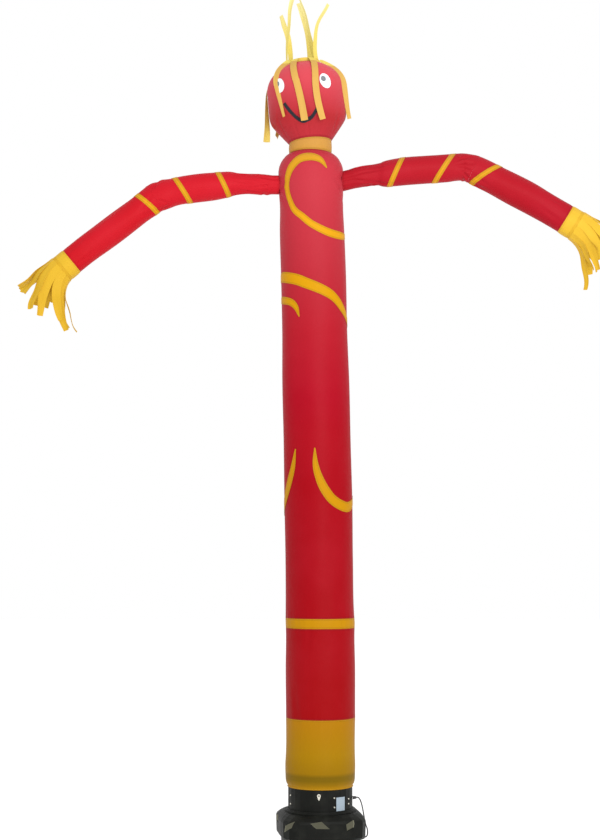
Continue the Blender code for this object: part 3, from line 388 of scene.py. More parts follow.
# Creases of the body: azimuth in degrees, height, slant in degrees, half length, half width, depth
BODY_CREASES = (
    (62.0, 4.600, 10.0, 0.085, 0.016, 0.006),
    (70.0, 4.520, -35.0, 0.100, 0.018, 0.006),
    (56.0, 4.660, 35.0, 0.080, 0.018, 0.005),
    (-66.0, 4.540, 25.0, 0.070, 0.016, 0.005),
    (-70.0, 4.480, -40.0, 0.080, 0.016, 0.005),
    (-20.0, 1.500, 78.0, 0.090, 0.020, 0.003),
    (35.0, 1.690, 100.0, 0.110, 0.022, 0.003),
    (8.0, 0.900, 85.0, 0.100, 0.020, 0.003),
    (-45.0, 1.060, 96.0, 0.120, 0.022, 0.003),
    (150.0, 2.300, 80.0, 0.300, 0.030, 0.004),
    (-160.0, 3.400, 95.0, 0.300, 0.030, 0.004),
    (20.0, 2.100, 84.0, 0.420, 0.050, 0.003),
    (-30.0, 3.300, 92.0, 0.420, 0.055, 0.003),
    (46.0, 3.900, 88.0, 0.300, 0.045, 0.003),
)


def gather(azimuth, distance, seed):
    """Small gathers that a seam pulls into cloth, at a distance from it in metres."""
    waves = (np.sin(29 * azimuth + 2.0 * np.sin(3 * azimuth + seed)) + 0.7 * np.sin(47 * azimuth + 2.3 * seed)
             + 0.5 * np.sin(17 * azimuth - seed))
    strength = 0.6 + 0.4 * np.sin(4 * azimuth + 1.7 * seed)
    return PUCKER_DEPTH * 0.45 * waves * strength * np.exp(-np.abs(distance) / PUCKER_REACH)


def press(creases, around, along, turn):
    """Depth of a table of creases. around and along are in metres, and turn is once round."""
    total = 0.0
    for place, height, slant, half_length, half_width, depth in creases:
        side = (around - math.radians(place) * turn / (2.0 * math.pi) + turn / 2.0) % turn - turn / 2.0
        rise = along - height
        cosine, sine = math.cos(math.radians(slant)), math.sin(math.radians(slant))
        length = (side * cosine + rise * sine) / half_length
        width = (rise * cosine - side * sine) / half_width
        trough = np.exp(-width ** 2) - 0.45 * np.exp(-(np.abs(width) - 1.7) ** 2)
        total = total - depth * trough * np.exp(-length ** 2)
    return total


def body_shape(height):
    """Where the body's axis is at a height, and its radius there."""
    start = BODY_ROWS[-1, 2]
    top = 1.0 - math.sqrt(1.0 - ((SHOULDER_TOP - SHOULDER_START) / SHOULDER_RISE) ** 2)
    low = np.clip(height, BODY_ROWS[0, 0], SHOULDER_START)
    axis = through(BODY_ROWS[:, 0], BODY_ROWS[:, 1], low)
    radius = through(BODY_ROWS[:, 0], BODY_ROWS[:, 2], low)
    rise = np.clip((height - SHOULDER_START) / SHOULDER_RISE, 0.0, 0.999)
    shoulder = start - (start - NECK_RADIUS) * (1.0 - np.sqrt(1.0 - rise ** 2)) / top
    return axis, np.where(height > SHOULDER_START, shoulder, radius)


def body_folds(azimuth, height):
    """How far the cloth of the body stands in or out of its plain tube."""
    total = (0.0016 * np.sin(3 * azimuth + 1.3 * height) * np.sin(2.1 * height + 0.6)
             + 0.0011 * np.sin(5 * azimuth - 2.2 * height + 1.0))
    for number, seam in enumerate((CUFF_TOP, WAIST_BOTTOM, WAIST_TOP, SHOULDER_TOP)):
        total = total + gather(azimuth, height - seam, 1.0 + number)
    total = total + press(BODY_CREASES, azimuth * BODY_SCALE, height, 2.0 * math.pi * BODY_SCALE)
    calm = np.clip((height - 0.53) / 0.10, 0.0, 1.0) * np.clip((SHOULDER_TOP - height) / 0.03, 0.0, 1.0)
    return total * calm


def body_surface(azimuth, height, lift=0.0):
    """Points of the body's cloth, at an angle in radians from the front."""
    step = 0.002
    low = np.minimum(height, SHOULDER_TOP - step)
    slope = (body_shape(low + step)[1] - body_shape(low - step)[1]) / (2.0 * step)
    length = np.hypot(1.0, slope)
    axis, radius = body_shape(height)
    out = lift + body_folds(azimuth, height)
    radius = radius + out / length
    return np.stack([axis + radius * np.sin(azimuth), -radius * np.cos(azimuth),
                     height - out * slope / length + 0.0 * azimuth], axis=-1)


def make_cloth(name, grids, material, thickness, offset, node):
    """A sheet of cloth from grids of points, with a UV map in metres and the distance to its seams.

    A grid is a dict: points, u and v (metres round and along), seam, closed (a tube), and core, the
    points that its cloth turns its back on.
    """
    verts, faces, uvs, seams = [], [], [], []
    count = 0
    for grid in grids:
        points = grid["points"]
        rows, columns = points.shape[:2]
        last = columns if grid["closed"] else columns - 1
        r, c = np.meshgrid(np.arange(rows - 1), np.arange(last), indexing="ij")
        after = (c + 1) % columns
        corners = np.stack([r * columns + c, r * columns + after, (r + 1) * columns + after,
                            (r + 1) * columns + c], axis=-1).reshape(-1, 4)
        flat = points.reshape(-1, 3)
        quad = flat[corners]
        normal = np.cross(quad[:, 2] - quad[:, 0], quad[:, 3] - quad[:, 1])
        core = np.broadcast_to(grid["core"], points.shape).reshape(-1, 3)[corners[:, 0]]
        u, v = grid["u"], grid["v"]
        cells = np.stack([np.stack([u[r, c], v[r, c]], -1), np.stack([u[r, c + 1], v[r, c + 1]], -1),
                          np.stack([u[r + 1, c + 1], v[r + 1, c + 1]], -1),
                          np.stack([u[r + 1, c], v[r + 1, c]], -1)], axis=2).reshape(-1, 4, 2)
        if np.sum(normal * (quad[:, 0] - core)) < 0.0:
            corners = corners[:, ::-1]
            cells = cells[:, ::-1]
        keep = grid.get("keep")
        if keep is not None:
            chosen = keep(flat[corners].mean(axis=1))
            corners, cells = corners[chosen], cells[chosen]
        verts.append(flat)
        faces.append(corners + count)
        uvs.append(cells)
        seams.append(np.broadcast_to(grid["seam"], points.shape[:2]).reshape(-1))
        count += len(flat)
    mesh = bpy.data.meshes.new(name)
    mesh.from_pydata(np.concatenate(verts).tolist(), [], np.concatenate(faces).tolist())
    mesh.uv_layers.new(name="cloth")
    mesh.uv_layers["cloth"].data.foreach_set("uv", np.concatenate(uvs).reshape(-1))
    attribute = mesh.attributes.new("seam", "FLOAT", "POINT")
    attribute.data.foreach_set("value", np.concatenate(seams).astype(np.float32))
    mesh.materials.append(material)
    piece = bpy.data.objects.new(name, mesh)
    bpy.context.scene.collection.objects.link(piece)
    bpy.ops.object.select_all(action="DESELECT")
    piece.select_set(True)
    bpy.context.view_layer.objects.active = piece
    wall = piece.modifiers.new("wall", "SOLIDIFY")
    wall.thickness = thickness
    wall.offset = offset
    bpy.ops.object.modifier_apply(modifier=wall.name)
    piece.data.shade_smooth()
    bpy.ops.object.shade_smooth_by_angle(angle=math.radians(55.0))
    bpy.ops.object.select_all(action="DESELECT")
    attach(piece, "root")
    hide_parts(node)
    return piece


def round_tube(surface, heights, cells, scale):
    """The grid of a tube from a surface function, with one row of points for each height."""
    azimuth = 2.0 * np.pi * np.arange(cells) / cells
    points = surface(azimuth[None, :], heights[:, None])
    u, v = np.meshgrid(2.0 * np.pi * np.arange(cells + 1) / cells * scale, heights)
    distance = np.minimum(heights - heights[0], heights[-1] - heights)[:, None]
    return {"points": points, "u": u, "v": v, "seam": np.repeat(distance, cells, axis=1), "closed": True,
            "core": points.mean(axis=1, keepdims=True)}


def levels(bottom, top, cell):
    """Heights from bottom to top, closer together at the two seams."""
    count = max(3, round((top - bottom) / cell))
    return np.concatenate([[bottom, bottom + 0.004], np.linspace(bottom + 0.010, top - 0.010, count),
                           [top - 0.004, top]])


cuff = make_cloth("yellow_cuff", [round_tube(body_surface, levels(HEM_BOTTOM, CUFF_TOP, 0.012), BODY_CELLS,
                                             BODY_SCALE)], yellow, CLOTH, -1.0, "cuff")
lower_levels = levels(CUFF_TOP + SEAM_GAP, WAIST_BOTTOM - SEAM_GAP, 0.014)
lower = make_cloth("lower_tube", [round_tube(body_surface, lower_levels, BODY_CELLS, BODY_SCALE)],
                   red, CLOTH, -1.0, "lower_panel")
waist = make_cloth("waist_tape", [round_tube(body_surface, levels(WAIST_BOTTOM, WAIST_TOP, 0.008), BODY_CELLS,
                                             BODY_SCALE)], yellow, CLOTH, -1.0, "waist_band")
upper_grid = round_tube(body_surface, np.concatenate([
    levels(WAIST_TOP + SEAM_GAP, SHOULDER_START, 0.015)[:-2],
    SHOULDER_START + SHOULDER_RISE * np.sin(np.linspace(0.0, math.asin(
        (SHOULDER_TOP - SHOULDER_START) / SHOULDER_RISE), 22))]), BODY_CELLS, BODY_SCALE)
ARMHOLES = ((-1.0, 4.576, 0.056), (1.0, 4.615, 0.058))


def outside_armholes(centres):
    """Faces that lie outside both armholes, which the sleeves cover."""
    result = np.ones(len(centres), bool)
    for side, height, radius in ARMHOLES:
        inside = np.hypot(centres[:, 1], centres[:, 2] - height) < radius
        result &= ~(inside & (centres[:, 0] * side > 0.0))
    return result


upper_grid["keep"] = outside_armholes
upper = make_cloth("upper_tube", [upper_grid], red, CLOTH, -1.0, "body")

# Swirls: curved stripes of yellow nylon, cut out by hand, laid on the filled-out tube and sewn down with a
# zigzag along both edges. They taper to points and run on round to the back.
STRIP_LIFT = 0.0012
TRIM_THICKNESS = 0.0012
SWIRLS = {
    "swirl_chest": (
        (28.5, 4.645, 0.008),
        (16.6, 4.700, 0.046),
        (0.0, 4.718, 0.058),
        (-20.4, 4.705, 0.060),
        (-36.0, 4.655, 0.058),
        (-45.0, 4.597, 0.054),
        (-48.0, 4.525, 0.048),
        (-44.0, 4.447, 0.044),
        (-33.3, 4.365, 0.044),
        (-18.1, 4.312, 0.046),
        (1.0, 4.251, 0.050),
        (30.2, 4.203, 0.056),
        (61.2, 4.198, 0.052),
        (88.0, 4.215, 0.034),
        (104.0, 4.232, 0.008),
    ),
    "swirl_belly": (
        (-104.0, 3.905, 0.010),
        (-86.0, 3.918, 0.052),
        (-68.0, 3.918, 0.072),
        (-34.2, 3.888, 0.074),
        (-13.5, 3.855, 0.072),
        (15.9, 3.808, 0.068),
        (38.5, 3.761, 0.064),
        (60.1, 3.691, 0.056),
        (80.0, 3.632, 0.044),
        (98.0, 3.590, 0.010),
    ),
    "swirl_hook": (
        (-96.0, 3.758, 0.010),
        (-82.0, 3.768, 0.044),
        (-70.0, 3.761, 0.052),
        (-46.0, 3.738, 0.048),
        (-34.0, 3.698, 0.038),
        (-27.7, 3.632, 0.008),
    ),
    "swirl_hip": (
        (-4.7, 2.752, 0.008),
        (-4.3, 2.651, 0.036),
        (0.3, 2.566, 0.050),
        (10.5, 2.475, 0.062),
        (26.4, 2.402, 0.068),
        (51.7, 2.364, 0.068),
        (75.0, 2.394, 0.052),
        (92.0, 2.442, 0.010),
    ),
    "swirl_side": (
        (-40.1, 2.748, 0.008),
        (-47.0, 2.629, 0.040),
        (-59.0, 2.518, 0.056),
        (-75.3, 2.414, 0.060),
        (-90.0, 2.346, 0.046),
        (-104.0, 2.296, 0.010),
    ),
}


def strip_grid(surface, scale, rows, lift, steps, columns, core):
    """The grid of a strip whose centre line runs through a table of azimuth, height and width."""
    rows = np.array(rows, float)
    rows[:, 0] = np.radians(rows[:, 0]) * scale
    line = smooth_rows(rows, steps)
    heading = np.gradient(line[:, :2], axis=0)
    heading /= np.linalg.norm(heading, axis=1, keepdims=True)
    offset = (np.linspace(-0.5, 0.5, columns + 1)[None, :] * np.maximum(line[:, 2], 0.003)[:, None])
    azimuth = (line[:, 0][:, None] - heading[:, 1][:, None] * offset) / scale
    height = line[:, 1][:, None] + heading[:, 0][:, None] * offset
    points = surface(azimuth, height, lift)
    length = np.concatenate([[0.0], np.cumsum(np.hypot(*np.diff(line[:, :2], axis=0).T))])
    edge = line[:, 2][:, None] / 2.0 - np.abs(offset)
    return {"points": points, "u": length[:, None] + 0.0 * offset, "v": offset, "seam": edge, "closed": False,
            "core": core(height)}, length[-1]


def body_core(height):
    axis = body_shape(height)[0]
    return np.stack([axis, 0.0 * axis, height], axis=-1)


for swirl, rows in SWIRLS.items():
    grid, length = strip_grid(body_surface, BODY_SCALE, rows, STRIP_LIFT, 12, 8, body_core)
    strip = make_cloth(swirl + "_strip", [grid], yellow, TRIM_THICKNESS, 1.0, swirl)
    width = max(row[2] for row in rows)
    0.82 * width * length

# Neck: a short yellow tube, level at the bottom and slanted at the top, that the head leans on.
HEAD_BASE = np.array((-0.063, 0.0, 4.873))
HEAD_LEAN = math.radians(5.0)
NECK_SWELL = 0.0030


def neck_surface(azimuth, share):
    """Points of the neck from its lower seam, 0, to its slanted upper one, 1."""
    bottom = SHOULDER_TOP + SEAM_GAP
    gathers = 0.8 * gather(azimuth, np.minimum(share, 1.0 - share) * 0.085, 5.0)
    radius = NECK_RADIUS + NECK_SWELL * np.sin(np.pi * share) + gathers * np.sin(np.pi * share) ** 0.5
    tilt = radius * np.sin(azimuth) * math.sin(HEAD_LEAN) * share
    return np.stack([HEAD_BASE[0] + radius * np.sin(azimuth), -radius * np.cos(azimuth),
                     bottom + (HEAD_BASE[2] - bottom) * share + tilt], axis=-1)


neck_grid = round_tube(neck_surface, np.linspace(0.0, 1.0, 13), 96, NECK_RADIUS)
neck_grid["v"] = neck_grid["v"] * 0.084
neck_grid["seam"] = neck_grid["seam"] * 0.084
neck = make_cloth("neck_tube", [neck_grid], yellow, CLOTH, -1.0, "neck")

# Head: a red bag of six panels, cone below and dome above, left open at the crown for the air. It shows
# lighter than the body, because the light comes through it from behind.
HEAD_ROWS = np.array((
    (0.000, NECK_RADIUS),
    (0.060, 0.1920),
    (0.120, 0.2380),
    (0.145, 0.2545),
    (0.170, 0.2625),
    (0.200, 0.2655),
    (0.365, 0.2655),
))
CROWN_START, HEAD_RADIUS = HEAD_ROWS[-1]
CROWN_RISE = 0.196
VENT_RADIUS = 0.115
VENT_HEIGHT = CROWN_START + CROWN_RISE * math.sqrt(1.0 - (VENT_RADIUS / HEAD_RADIUS) ** 2)
# Creases of the head: azimuth in degrees, height, slant in degrees, half length, half width, depth
HEAD_CREASES = (
    (-3.0, 0.060, 88.0, 0.090, 0.012, 0.004),
    (-60.0, 0.110, 60.0, 0.080, 0.014, 0.004),
    (58.0, 0.100, 120.0, 0.080, 0.014, 0.004),
    (25.0, 0.050, 95.0, 0.060, 0.012, 0.003),
    (-30.0, 0.055, 84.0, 0.060, 0.012, 0.003),
    (160.0, 0.080, 90.0, 0.090, 0.014, 0.004),
)


def head_radius(height):
    low = np.interp(height, HEAD_ROWS[:, 0], HEAD_ROWS[:, 1])
    share = np.clip((height - CROWN_START) / CROWN_RISE, 0.0, 1.0)
    return np.where(height > CROWN_START, HEAD_RADIUS * np.sqrt(1.0 - share ** 2), low)


def head_frame(x, y, height):
    """A point given on the head's own axis, which leans to the left."""
    return np.stack([HEAD_BASE[0] + math.cos(HEAD_LEAN) * x - math.sin(HEAD_LEAN) * height,
                     HEAD_BASE[1] + y + 0.0 * x, HEAD_BASE[2] + math.sin(HEAD_LEAN) * x
                     + math.cos(HEAD_LEAN) * height], axis=-1)


def head_surface(azimuth, height, lift=0.0):
    """Points of the head's cloth, at an angle in radians from the front."""
    step = 0.004
    low = np.clip(height, step, VENT_HEIGHT - step)
    slope = (head_radius(low + step) - head_radius(low - step)) / (2.0 * step)
    length = np.hypot(1.0, slope)
    panels = 0.0022 * (np.abs(np.sin(3.0 * azimuth + 0.15)) - 0.65)
    folds = (panels + 0.9 * gather(azimuth, height, 7.0) + 0.5 * gather(azimuth, height - VENT_HEIGHT, 8.0)
             + press(HEAD_CREASES, azimuth * HEAD_RADIUS, height, 2.0 * math.pi * HEAD_RADIUS))
    folds = folds * np.clip(height / 0.02, 0.0, 1.0) * np.clip((VENT_HEIGHT - height) / 0.02, 0.0, 1.0)
    out = lift + folds
    radius = head_radius(height) + out / length
    return head_frame(radius * np.sin(azimuth), -radius * np.cos(azimuth),
                      height - out * slope / length + 0.0 * azimuth)


head_levels = np.concatenate([levels(SEAM_GAP, CROWN_START, 0.009)[:-2],
                              CROWN_START + CROWN_RISE * np.sin(np.linspace(0.0, math.acos(
                                  VENT_RADIUS / HEAD_RADIUS), 34))])
head_grid = round_tube(head_surface, head_levels, 144, HEAD_RADIUS)
head = make_cloth("head_bag", [head_grid], red, CLOTH, -1.0, "head")

# Face: oval white eyes with small grey pupils and a curved black mouth, cut from nylon and sewn on.
# Like the other nylon, the white, grey and black are painted a little lighter towards the top, as painted light
white = nylon("white_ripstop", ((4.9, (222, 230, 232)), (5.6, (244, 250, 252))),
              stitch=((255, 255, 255), (200, 206, 210), (230, 234, 238)))
grey = nylon("grey_ripstop", ((4.9, (120, 124, 128)), (5.6, (130, 134, 138))),
             stitch=((150, 152, 156), (96, 98, 102), (150, 152, 156)))
black = nylon("black_ripstop", ((4.9, (44, 44, 50)), (5.6, (52, 52, 58))),
              stitch=((62, 62, 68), (30, 30, 34), (70, 70, 76)))
EYE_SIZE = (0.042, 0.052)
EYE_TILT = math.radians(18.0)
PUPIL_RADIUS = 0.0185
EYE_ROWS = (("right", 29.5, 0.352), ("left", -42.8, 0.357))
PUPIL_SHIFT = (-3.2, 0.013)
TRIM_LIFT = 0.0008
FACE_GAP = 0.0005
SMILE_ROWS = (
    (-36.5, 0.226, 0.022),
    (-27.7, 0.160, 0.023),
    (-19.4, 0.113, 0.023),
    (-10.0, 0.094, 0.023),
    (3.8, 0.110, 0.023),
    (11.9, 0.152, 0.022),
    (18.5, 0.205, 0.021),
)


def oval_patch(azimuth, height, size, tilt, lift):
    """The grid of an oval patch on the head, in rings from its middle."""
    share = np.array([0.02, 0.25, 0.5, 0.75, 0.92, 1.0])[:, None]
    angle = 2.0 * np.pi * np.arange(40)[None, :] / 40
    x, y = size[0] * share * np.cos(angle), size[1] * share * np.sin(angle)
    across = x * math.cos(tilt) - y * math.sin(tilt)
    rise = x * math.sin(tilt) + y * math.cos(tilt)
    points = head_surface(azimuth + across / HEAD_RADIUS, height + rise, lift)
    u = np.concatenate([across, across[:, :1]], axis=1)
    v = np.concatenate([rise, rise[:, :1]], axis=1)
    return {"points": points, "u": u, "v": v, "seam": (1.0 - share) * min(size) + 0.0 * x, "closed": True,
            "core": head_frame(np.array(0.0), np.array(0.0), np.array(height))}


for side, azimuth, height in EYE_ROWS:
    eye = make_cloth(side + "_eye_patch", [oval_patch(math.radians(azimuth), height, EYE_SIZE, EYE_TILT,
                                                      TRIM_LIFT)],
                     white, TRIM_THICKNESS, 1.0, "eye_" + side)
    pupil = make_cloth(side + "_pupil_patch", [oval_patch(
        math.radians(azimuth + PUPIL_SHIFT[0]), height + PUPIL_SHIFT[1], (PUPIL_RADIUS, PUPIL_RADIUS), 0.0,
        TRIM_LIFT + TRIM_THICKNESS + FACE_GAP)], grey, TRIM_THICKNESS, 1.0, "pupil_" + side)
grid, length = strip_grid(head_surface, HEAD_RADIUS, SMILE_ROWS, 0.0011, 10, 4,
                          lambda height: head_frame(0.0 * height, 0.0 * height, height))
mouth = make_cloth("mouth_strip", [grid], black, TRIM_THICKNESS, 1.0, "smile")

# Arms: two red sleeves a side, joined on a slanted seam at the elbow, where the cloth breaks into creases.
# They are narrow and puckered at the armpit and full further out.
ARM_CELLS = 72
ARM_SCALE = 0.095
ARMS = {
    "left_upper": ((
        (-0.325, 4.576, 0.0640),
        (-0.385, 4.577, 0.0705),
        (-0.500, 4.583, 0.0695),
        (-0.560, 4.584, 0.0730),
        (-0.620, 4.582, 0.0855),
        (-0.720, 4.568, 0.0930),
        (-0.820, 4.557, 0.0968),
        (-0.930, 4.541, 0.0960),
        (-1.000, 4.526, 0.0935),
        (-1.065, 4.508, 0.0990),
        (-1.130, 4.482, 0.0972),
    ), None, -144.0),
    "left_fore": ((
        (-1.130, 4.482, 0.0972),
        (-1.225, 4.408, 0.0940),
        (-1.320, 4.335, 0.0950),
        (-1.475, 4.218, 0.0950),
        (-1.590, 4.131, 0.0945),
        (-1.692, 4.046, 0.0925),
    ), -144.0, None),
    "right_upper": ((
        (0.215, 4.615, 0.0660),
        (0.280, 4.631, 0.0700),
        (0.390, 4.648, 0.0725),
        (0.445, 4.651, 0.0870),
        (0.520, 4.664, 0.0920),
        (0.635, 4.678, 0.0946),
        (0.850, 4.691, 0.0955),
        (0.930, 4.698, 0.0918),
        (0.985, 4.700, 0.0925),
        (1.056, 4.686, 0.0960),
    ), None, -24.0),
    "right_fore": ((
        (1.056, 4.686, 0.0960),
        (1.130, 4.648, 0.1010),
        (1.211, 4.606, 0.1010),
        (1.320, 4.549, 0.1035),
        (1.430, 4.491, 0.1035),
        (1.540, 4.425, 0.1010),
        (1.681, 4.339, 0.1000),
    ), -24.0, None),
}
# Creases of the arms: angle from the top in degrees (the front is 90), distance along, slant in degrees
# (90 runs along the arm), half length, half width, depth
ARM_CREASES = {
    "left_upper": (
        (20.0, 0.10, 80.0, 0.060, 0.009, 0.006),
        (60.0, 0.05, 100.0, 0.070, 0.011, 0.006),
        (110.0, 0.06, 75.0, 0.070, 0.010, 0.006),
        (150.0, 0.13, 95.0, 0.060, 0.010, 0.006),
        (180.0, 0.22, 70.0, 0.060, 0.011, 0.007),
        (35.0, 0.20, 92.0, 0.080, 0.010, 0.005),
        (95.0, 0.17, 98.0, 0.070, 0.011, 0.005),
        (175.0, 0.05, 10.0, 0.060, 0.012, 0.006),
        (165.0, 0.78, 60.0, 0.070, 0.012, 0.007),
        (120.0, 0.80, 120.0, 0.080, 0.010, 0.006),
        (60.0, 0.81, 62.0, 0.080, 0.010, 0.006),
        (20.0, 0.76, 20.0, 0.060, 0.014, 0.005),
        (200.0, 0.70, 80.0, 0.070, 0.012, 0.005),
    ),
    "left_fore": (
        (150.0, 0.05, 110.0, 0.080, 0.012, 0.007),
        (95.0, 0.06, 75.0, 0.080, 0.012, 0.005),
        (190.0, 0.09, 80.0, 0.080, 0.012, 0.006),
        (60.0, 0.62, 88.0, 0.080, 0.012, 0.004),
        (130.0, 0.62, 94.0, 0.080, 0.012, 0.004),
        (30.0, 0.30, 85.0, 0.160, 0.018, 0.003),
    ),
    "right_upper": (
        (20.0, 0.10, 95.0, 0.080, 0.009, 0.007),
        (40.0, 0.06, 85.0, 0.070, 0.010, 0.006),
        (80.0, 0.12, 92.0, 0.100, 0.011, 0.006),
        (120.0, 0.05, 70.0, 0.080, 0.012, 0.007),
        (175.0, 0.16, 60.0, 0.045, 0.012, 0.009),
        (190.0, 0.09, 110.0, 0.050, 0.011, 0.007),
        (60.0, 0.20, 100.0, 0.070, 0.010, 0.005),
        (150.0, 0.22, 84.0, 0.070, 0.010, 0.005),
        (60.0, 0.78, 112.0, 0.080, 0.010, 0.007),
        (85.0, 0.79, 96.0, 0.090, 0.010, 0.007),
        (112.0, 0.80, 80.0, 0.080, 0.010, 0.007),
        (140.0, 0.82, 62.0, 0.070, 0.011, 0.008),
        (180.0, 0.81, 30.0, 0.050, 0.014, 0.008),
    ),
    "right_fore": (
        (170.0, 0.05, 100.0, 0.070, 0.012, 0.007),
        (130.0, 0.07, 84.0, 0.080, 0.011, 0.005),
        (95.0, 0.06, 96.0, 0.080, 0.011, 0.004),
        (60.0, 0.60, 92.0, 0.080, 0.012, 0.004),
        (120.0, 0.61, 86.0, 0.080, 0.012, 0.004),
    ),
}


class Sleeve:
    """A cloth tube along an axis in an upright plane, from a table of x, z and radius."""

    def __init__(self, name):
        rows, first, last = ARMS[name]
        line = smooth_rows(rows, 8)
        self.name = name
        self.outward = math.copysign(1.0, line[-1, 0])
        self.axis = np.stack([line[:, 0], 0.0 * line[:, 0], line[:, 1]], axis=-1)
        self.radius = line[:, 2]
        step = np.gradient(self.axis, axis=0)
        self.heading = np.unwrap(np.arctan2(step[:, 2], step[:, 0]))
        self.slant = self.heading.copy()
        turn = np.clip(1.0 - np.arange(len(line)) / 8.0, 0.0, 1.0)
        for ends, given in ((turn, first), (turn[::-1], last)):
            if given is not None:
                goal = math.radians(given)
                near = 0 if ends is turn else -1
                difference = (goal - self.heading[near] + math.pi) % (2.0 * math.pi) - math.pi
                self.slant = self.slant + difference * ends
        self.along = np.concatenate([[0.0], np.cumsum(np.linalg.norm(np.diff(self.axis, axis=0), axis=1))])

    def folds(self, angle):
        """How far the sleeve's cloth stands in or out, for each ring and angle."""
        along = self.along[:, None]
        ends = (0.0, self.along[-1])
        total = (0.0014 * np.sin(3 * angle + 9.0 * along) + 0.0010 * np.sin(2 * angle - 14.0 * along)
                 + 0.7 * gather(angle, along - ends[0], 3.0) + 0.6 * gather(angle, along - ends[1], 4.0)
                 + press(ARM_CREASES[self.name], angle * ARM_SCALE, along, 2.0 * math.pi * ARM_SCALE))
        if self.name.endswith("upper"):
            calm = 1.0 + 0.0 * along
        else:
            calm = np.clip(along / 0.02, 0.0, 1.0)
        return total * calm * np.clip((ends[1] - along) / 0.02, 0.0, 1.0)

    def points(self, angle, lift=0.0):
        """Points of all rings at angles from the top round towards the front."""
        stretch = 1.0 / np.cos(self.slant - self.heading)
        up = np.stack([-np.sin(self.slant), 0.0 * self.slant, np.cos(self.slant)], axis=-1) * self.outward
        size = self.radius[:, None] + lift + self.folds(angle)
        return (self.axis[:, None, :] + up[:, None, :] * (size * stretch[:, None] * np.cos(angle))[..., None]
                - np.array((0.0, 1.0, 0.0)) * (size * np.sin(angle))[..., None])


def meet_body(points, heading):
    """Where lines back from a sleeve's first ring meet the body's cloth."""
    low, high = np.zeros(len(points)), np.full(len(points), 0.2)
    for _ in range(30):
        middle = (low + high) / 2.0
        probe = points - heading * middle[:, None]
        axis, radius = body_shape(probe[:, 2])
        outside = np.hypot(probe[:, 0] - axis, probe[:, 1]) > radius + SEAM_GAP
        low, high = np.where(outside, middle, low), np.where(outside, high, middle)
    return points - heading * low[:, None]


angles = 2.0 * np.pi * np.arange(ARM_CELLS)[None, :] / ARM_CELLS
sleeves = {}
# Painted light and shade: one red nylon in two copies, the left sleeve painted lighter as the lit side and the
# right sleeve darker as the shaded side, each a little lighter towards the top
lit_and_shaded_sleeve_reds = {
    "left": nylon("red_sleeve_left_lit", ((4.0, (178, 16, 26)), (4.6, (184, 22, 34))),
                  stitch=((232, 62, 88), (140, 4, 14), (215, 60, 72))),
    "right": nylon("red_sleeve_right_shaded", ((4.2, (151, 8, 24)), (4.7, (163, 22, 34))),
                   stitch=((222, 62, 88), (120, 4, 14), (205, 60, 72))),
}
for name in ARMS:
    sleeve = Sleeve(name)
    sleeves[name] = sleeve
    points = sleeve.points(angles)
    along = sleeve.along
    heading = np.array((math.cos(sleeve.heading[0]), 0.0, math.sin(sleeve.heading[0])))
    ending = np.array((math.cos(sleeve.slant[-1]), 0.0, math.sin(sleeve.slant[-1])))
    if name.endswith("upper"):
        root_ring = meet_body(points[0], heading)
        inner = [root_ring + (points[0] - root_ring) * share for share in (0.0, 0.35, 0.7)]
        points = np.concatenate([np.stack(inner), points])
        along = np.concatenate([[-0.06, -0.04, -0.02], along])
        points[-1] -= ending * SEAM_GAP / 2.0
        elbow = points[-1] + ending * SEAM_GAP
    else:
        points[0] = elbow
    u, v = np.meshgrid(2.0 * np.pi * np.arange(ARM_CELLS + 1) / ARM_CELLS * ARM_SCALE, along)
    distance = (along - along[0] if name.endswith("upper") else along[-1] - along)[:, None]
    grid = {"points": points, "u": u, "v": v, "seam": np.repeat(distance, ARM_CELLS, axis=1), "closed": True,
            "core": points.mean(axis=1, keepdims=True)}
    piece = make_cloth(name + "_sleeve", [grid], lit_and_shaded_sleeve_reds[name.split("_")[0]], CLOTH, -1.0, name + "_arm")

# Arm bands: yellow tapes wound aslant round the sleeves and sewn down, three to an arm.
BAND_LIFT = 0.0010
BAND_WIDTH = 0.034
BAND_CELLS = 5
BANDS = (
    ("left_upper", -0.660, -154.2),
    ("left_upper", -0.943, -147.0),
    ("left_fore", -1.184, -130.0),
    ("right_upper", 0.526, -24.4),
    ("right_upper", 0.855, -33.0),
    ("right_fore", 1.140, -58.0),
)
for number, (arm, x, slant) in enumerate(BANDS, start=1):
    sleeve = sleeves[arm]
    order = np.argsort(sleeve.axis[:, 0])
    centre = np.array((x, 0.0, np.interp(x, sleeve.axis[order, 0], sleeve.axis[order, 2])))
    normal = np.array((math.cos(math.radians(slant)), 0.0, math.sin(math.radians(slant))))
    points = sleeve.points(angles, BAND_LIFT)
    distances = (points - centre) @ normal
    if distances[0, 0] > distances[-1, 0]:
        points, distances = points[::-1], distances[::-1]
    offsets = np.linspace(-BAND_WIDTH / 2.0, BAND_WIDTH / 2.0, BAND_CELLS + 1)
    band = np.stack([np.stack([np.interp(offsets, distances[:, side], points[:, side, part])
                               for part in range(3)], axis=-1) for side in range(ARM_CELLS)], axis=1)
    u, v = np.meshgrid(2.0 * np.pi * np.arange(ARM_CELLS + 1) / ARM_CELLS * ARM_SCALE, offsets)
    edge = np.repeat((BAND_WIDTH / 2.0 - np.abs(offsets))[:, None], ARM_CELLS, axis=1)
    piece = make_cloth("arm_tape_%d" % number, [{"points": band, "u": u, "v": v, "seam": edge, "closed": True,
                                                 "core": band.mean(axis=(0, 1), keepdims=True)}],
                       yellow, TRIM_THICKNESS, 1.0, "arm_band_%d" % number)

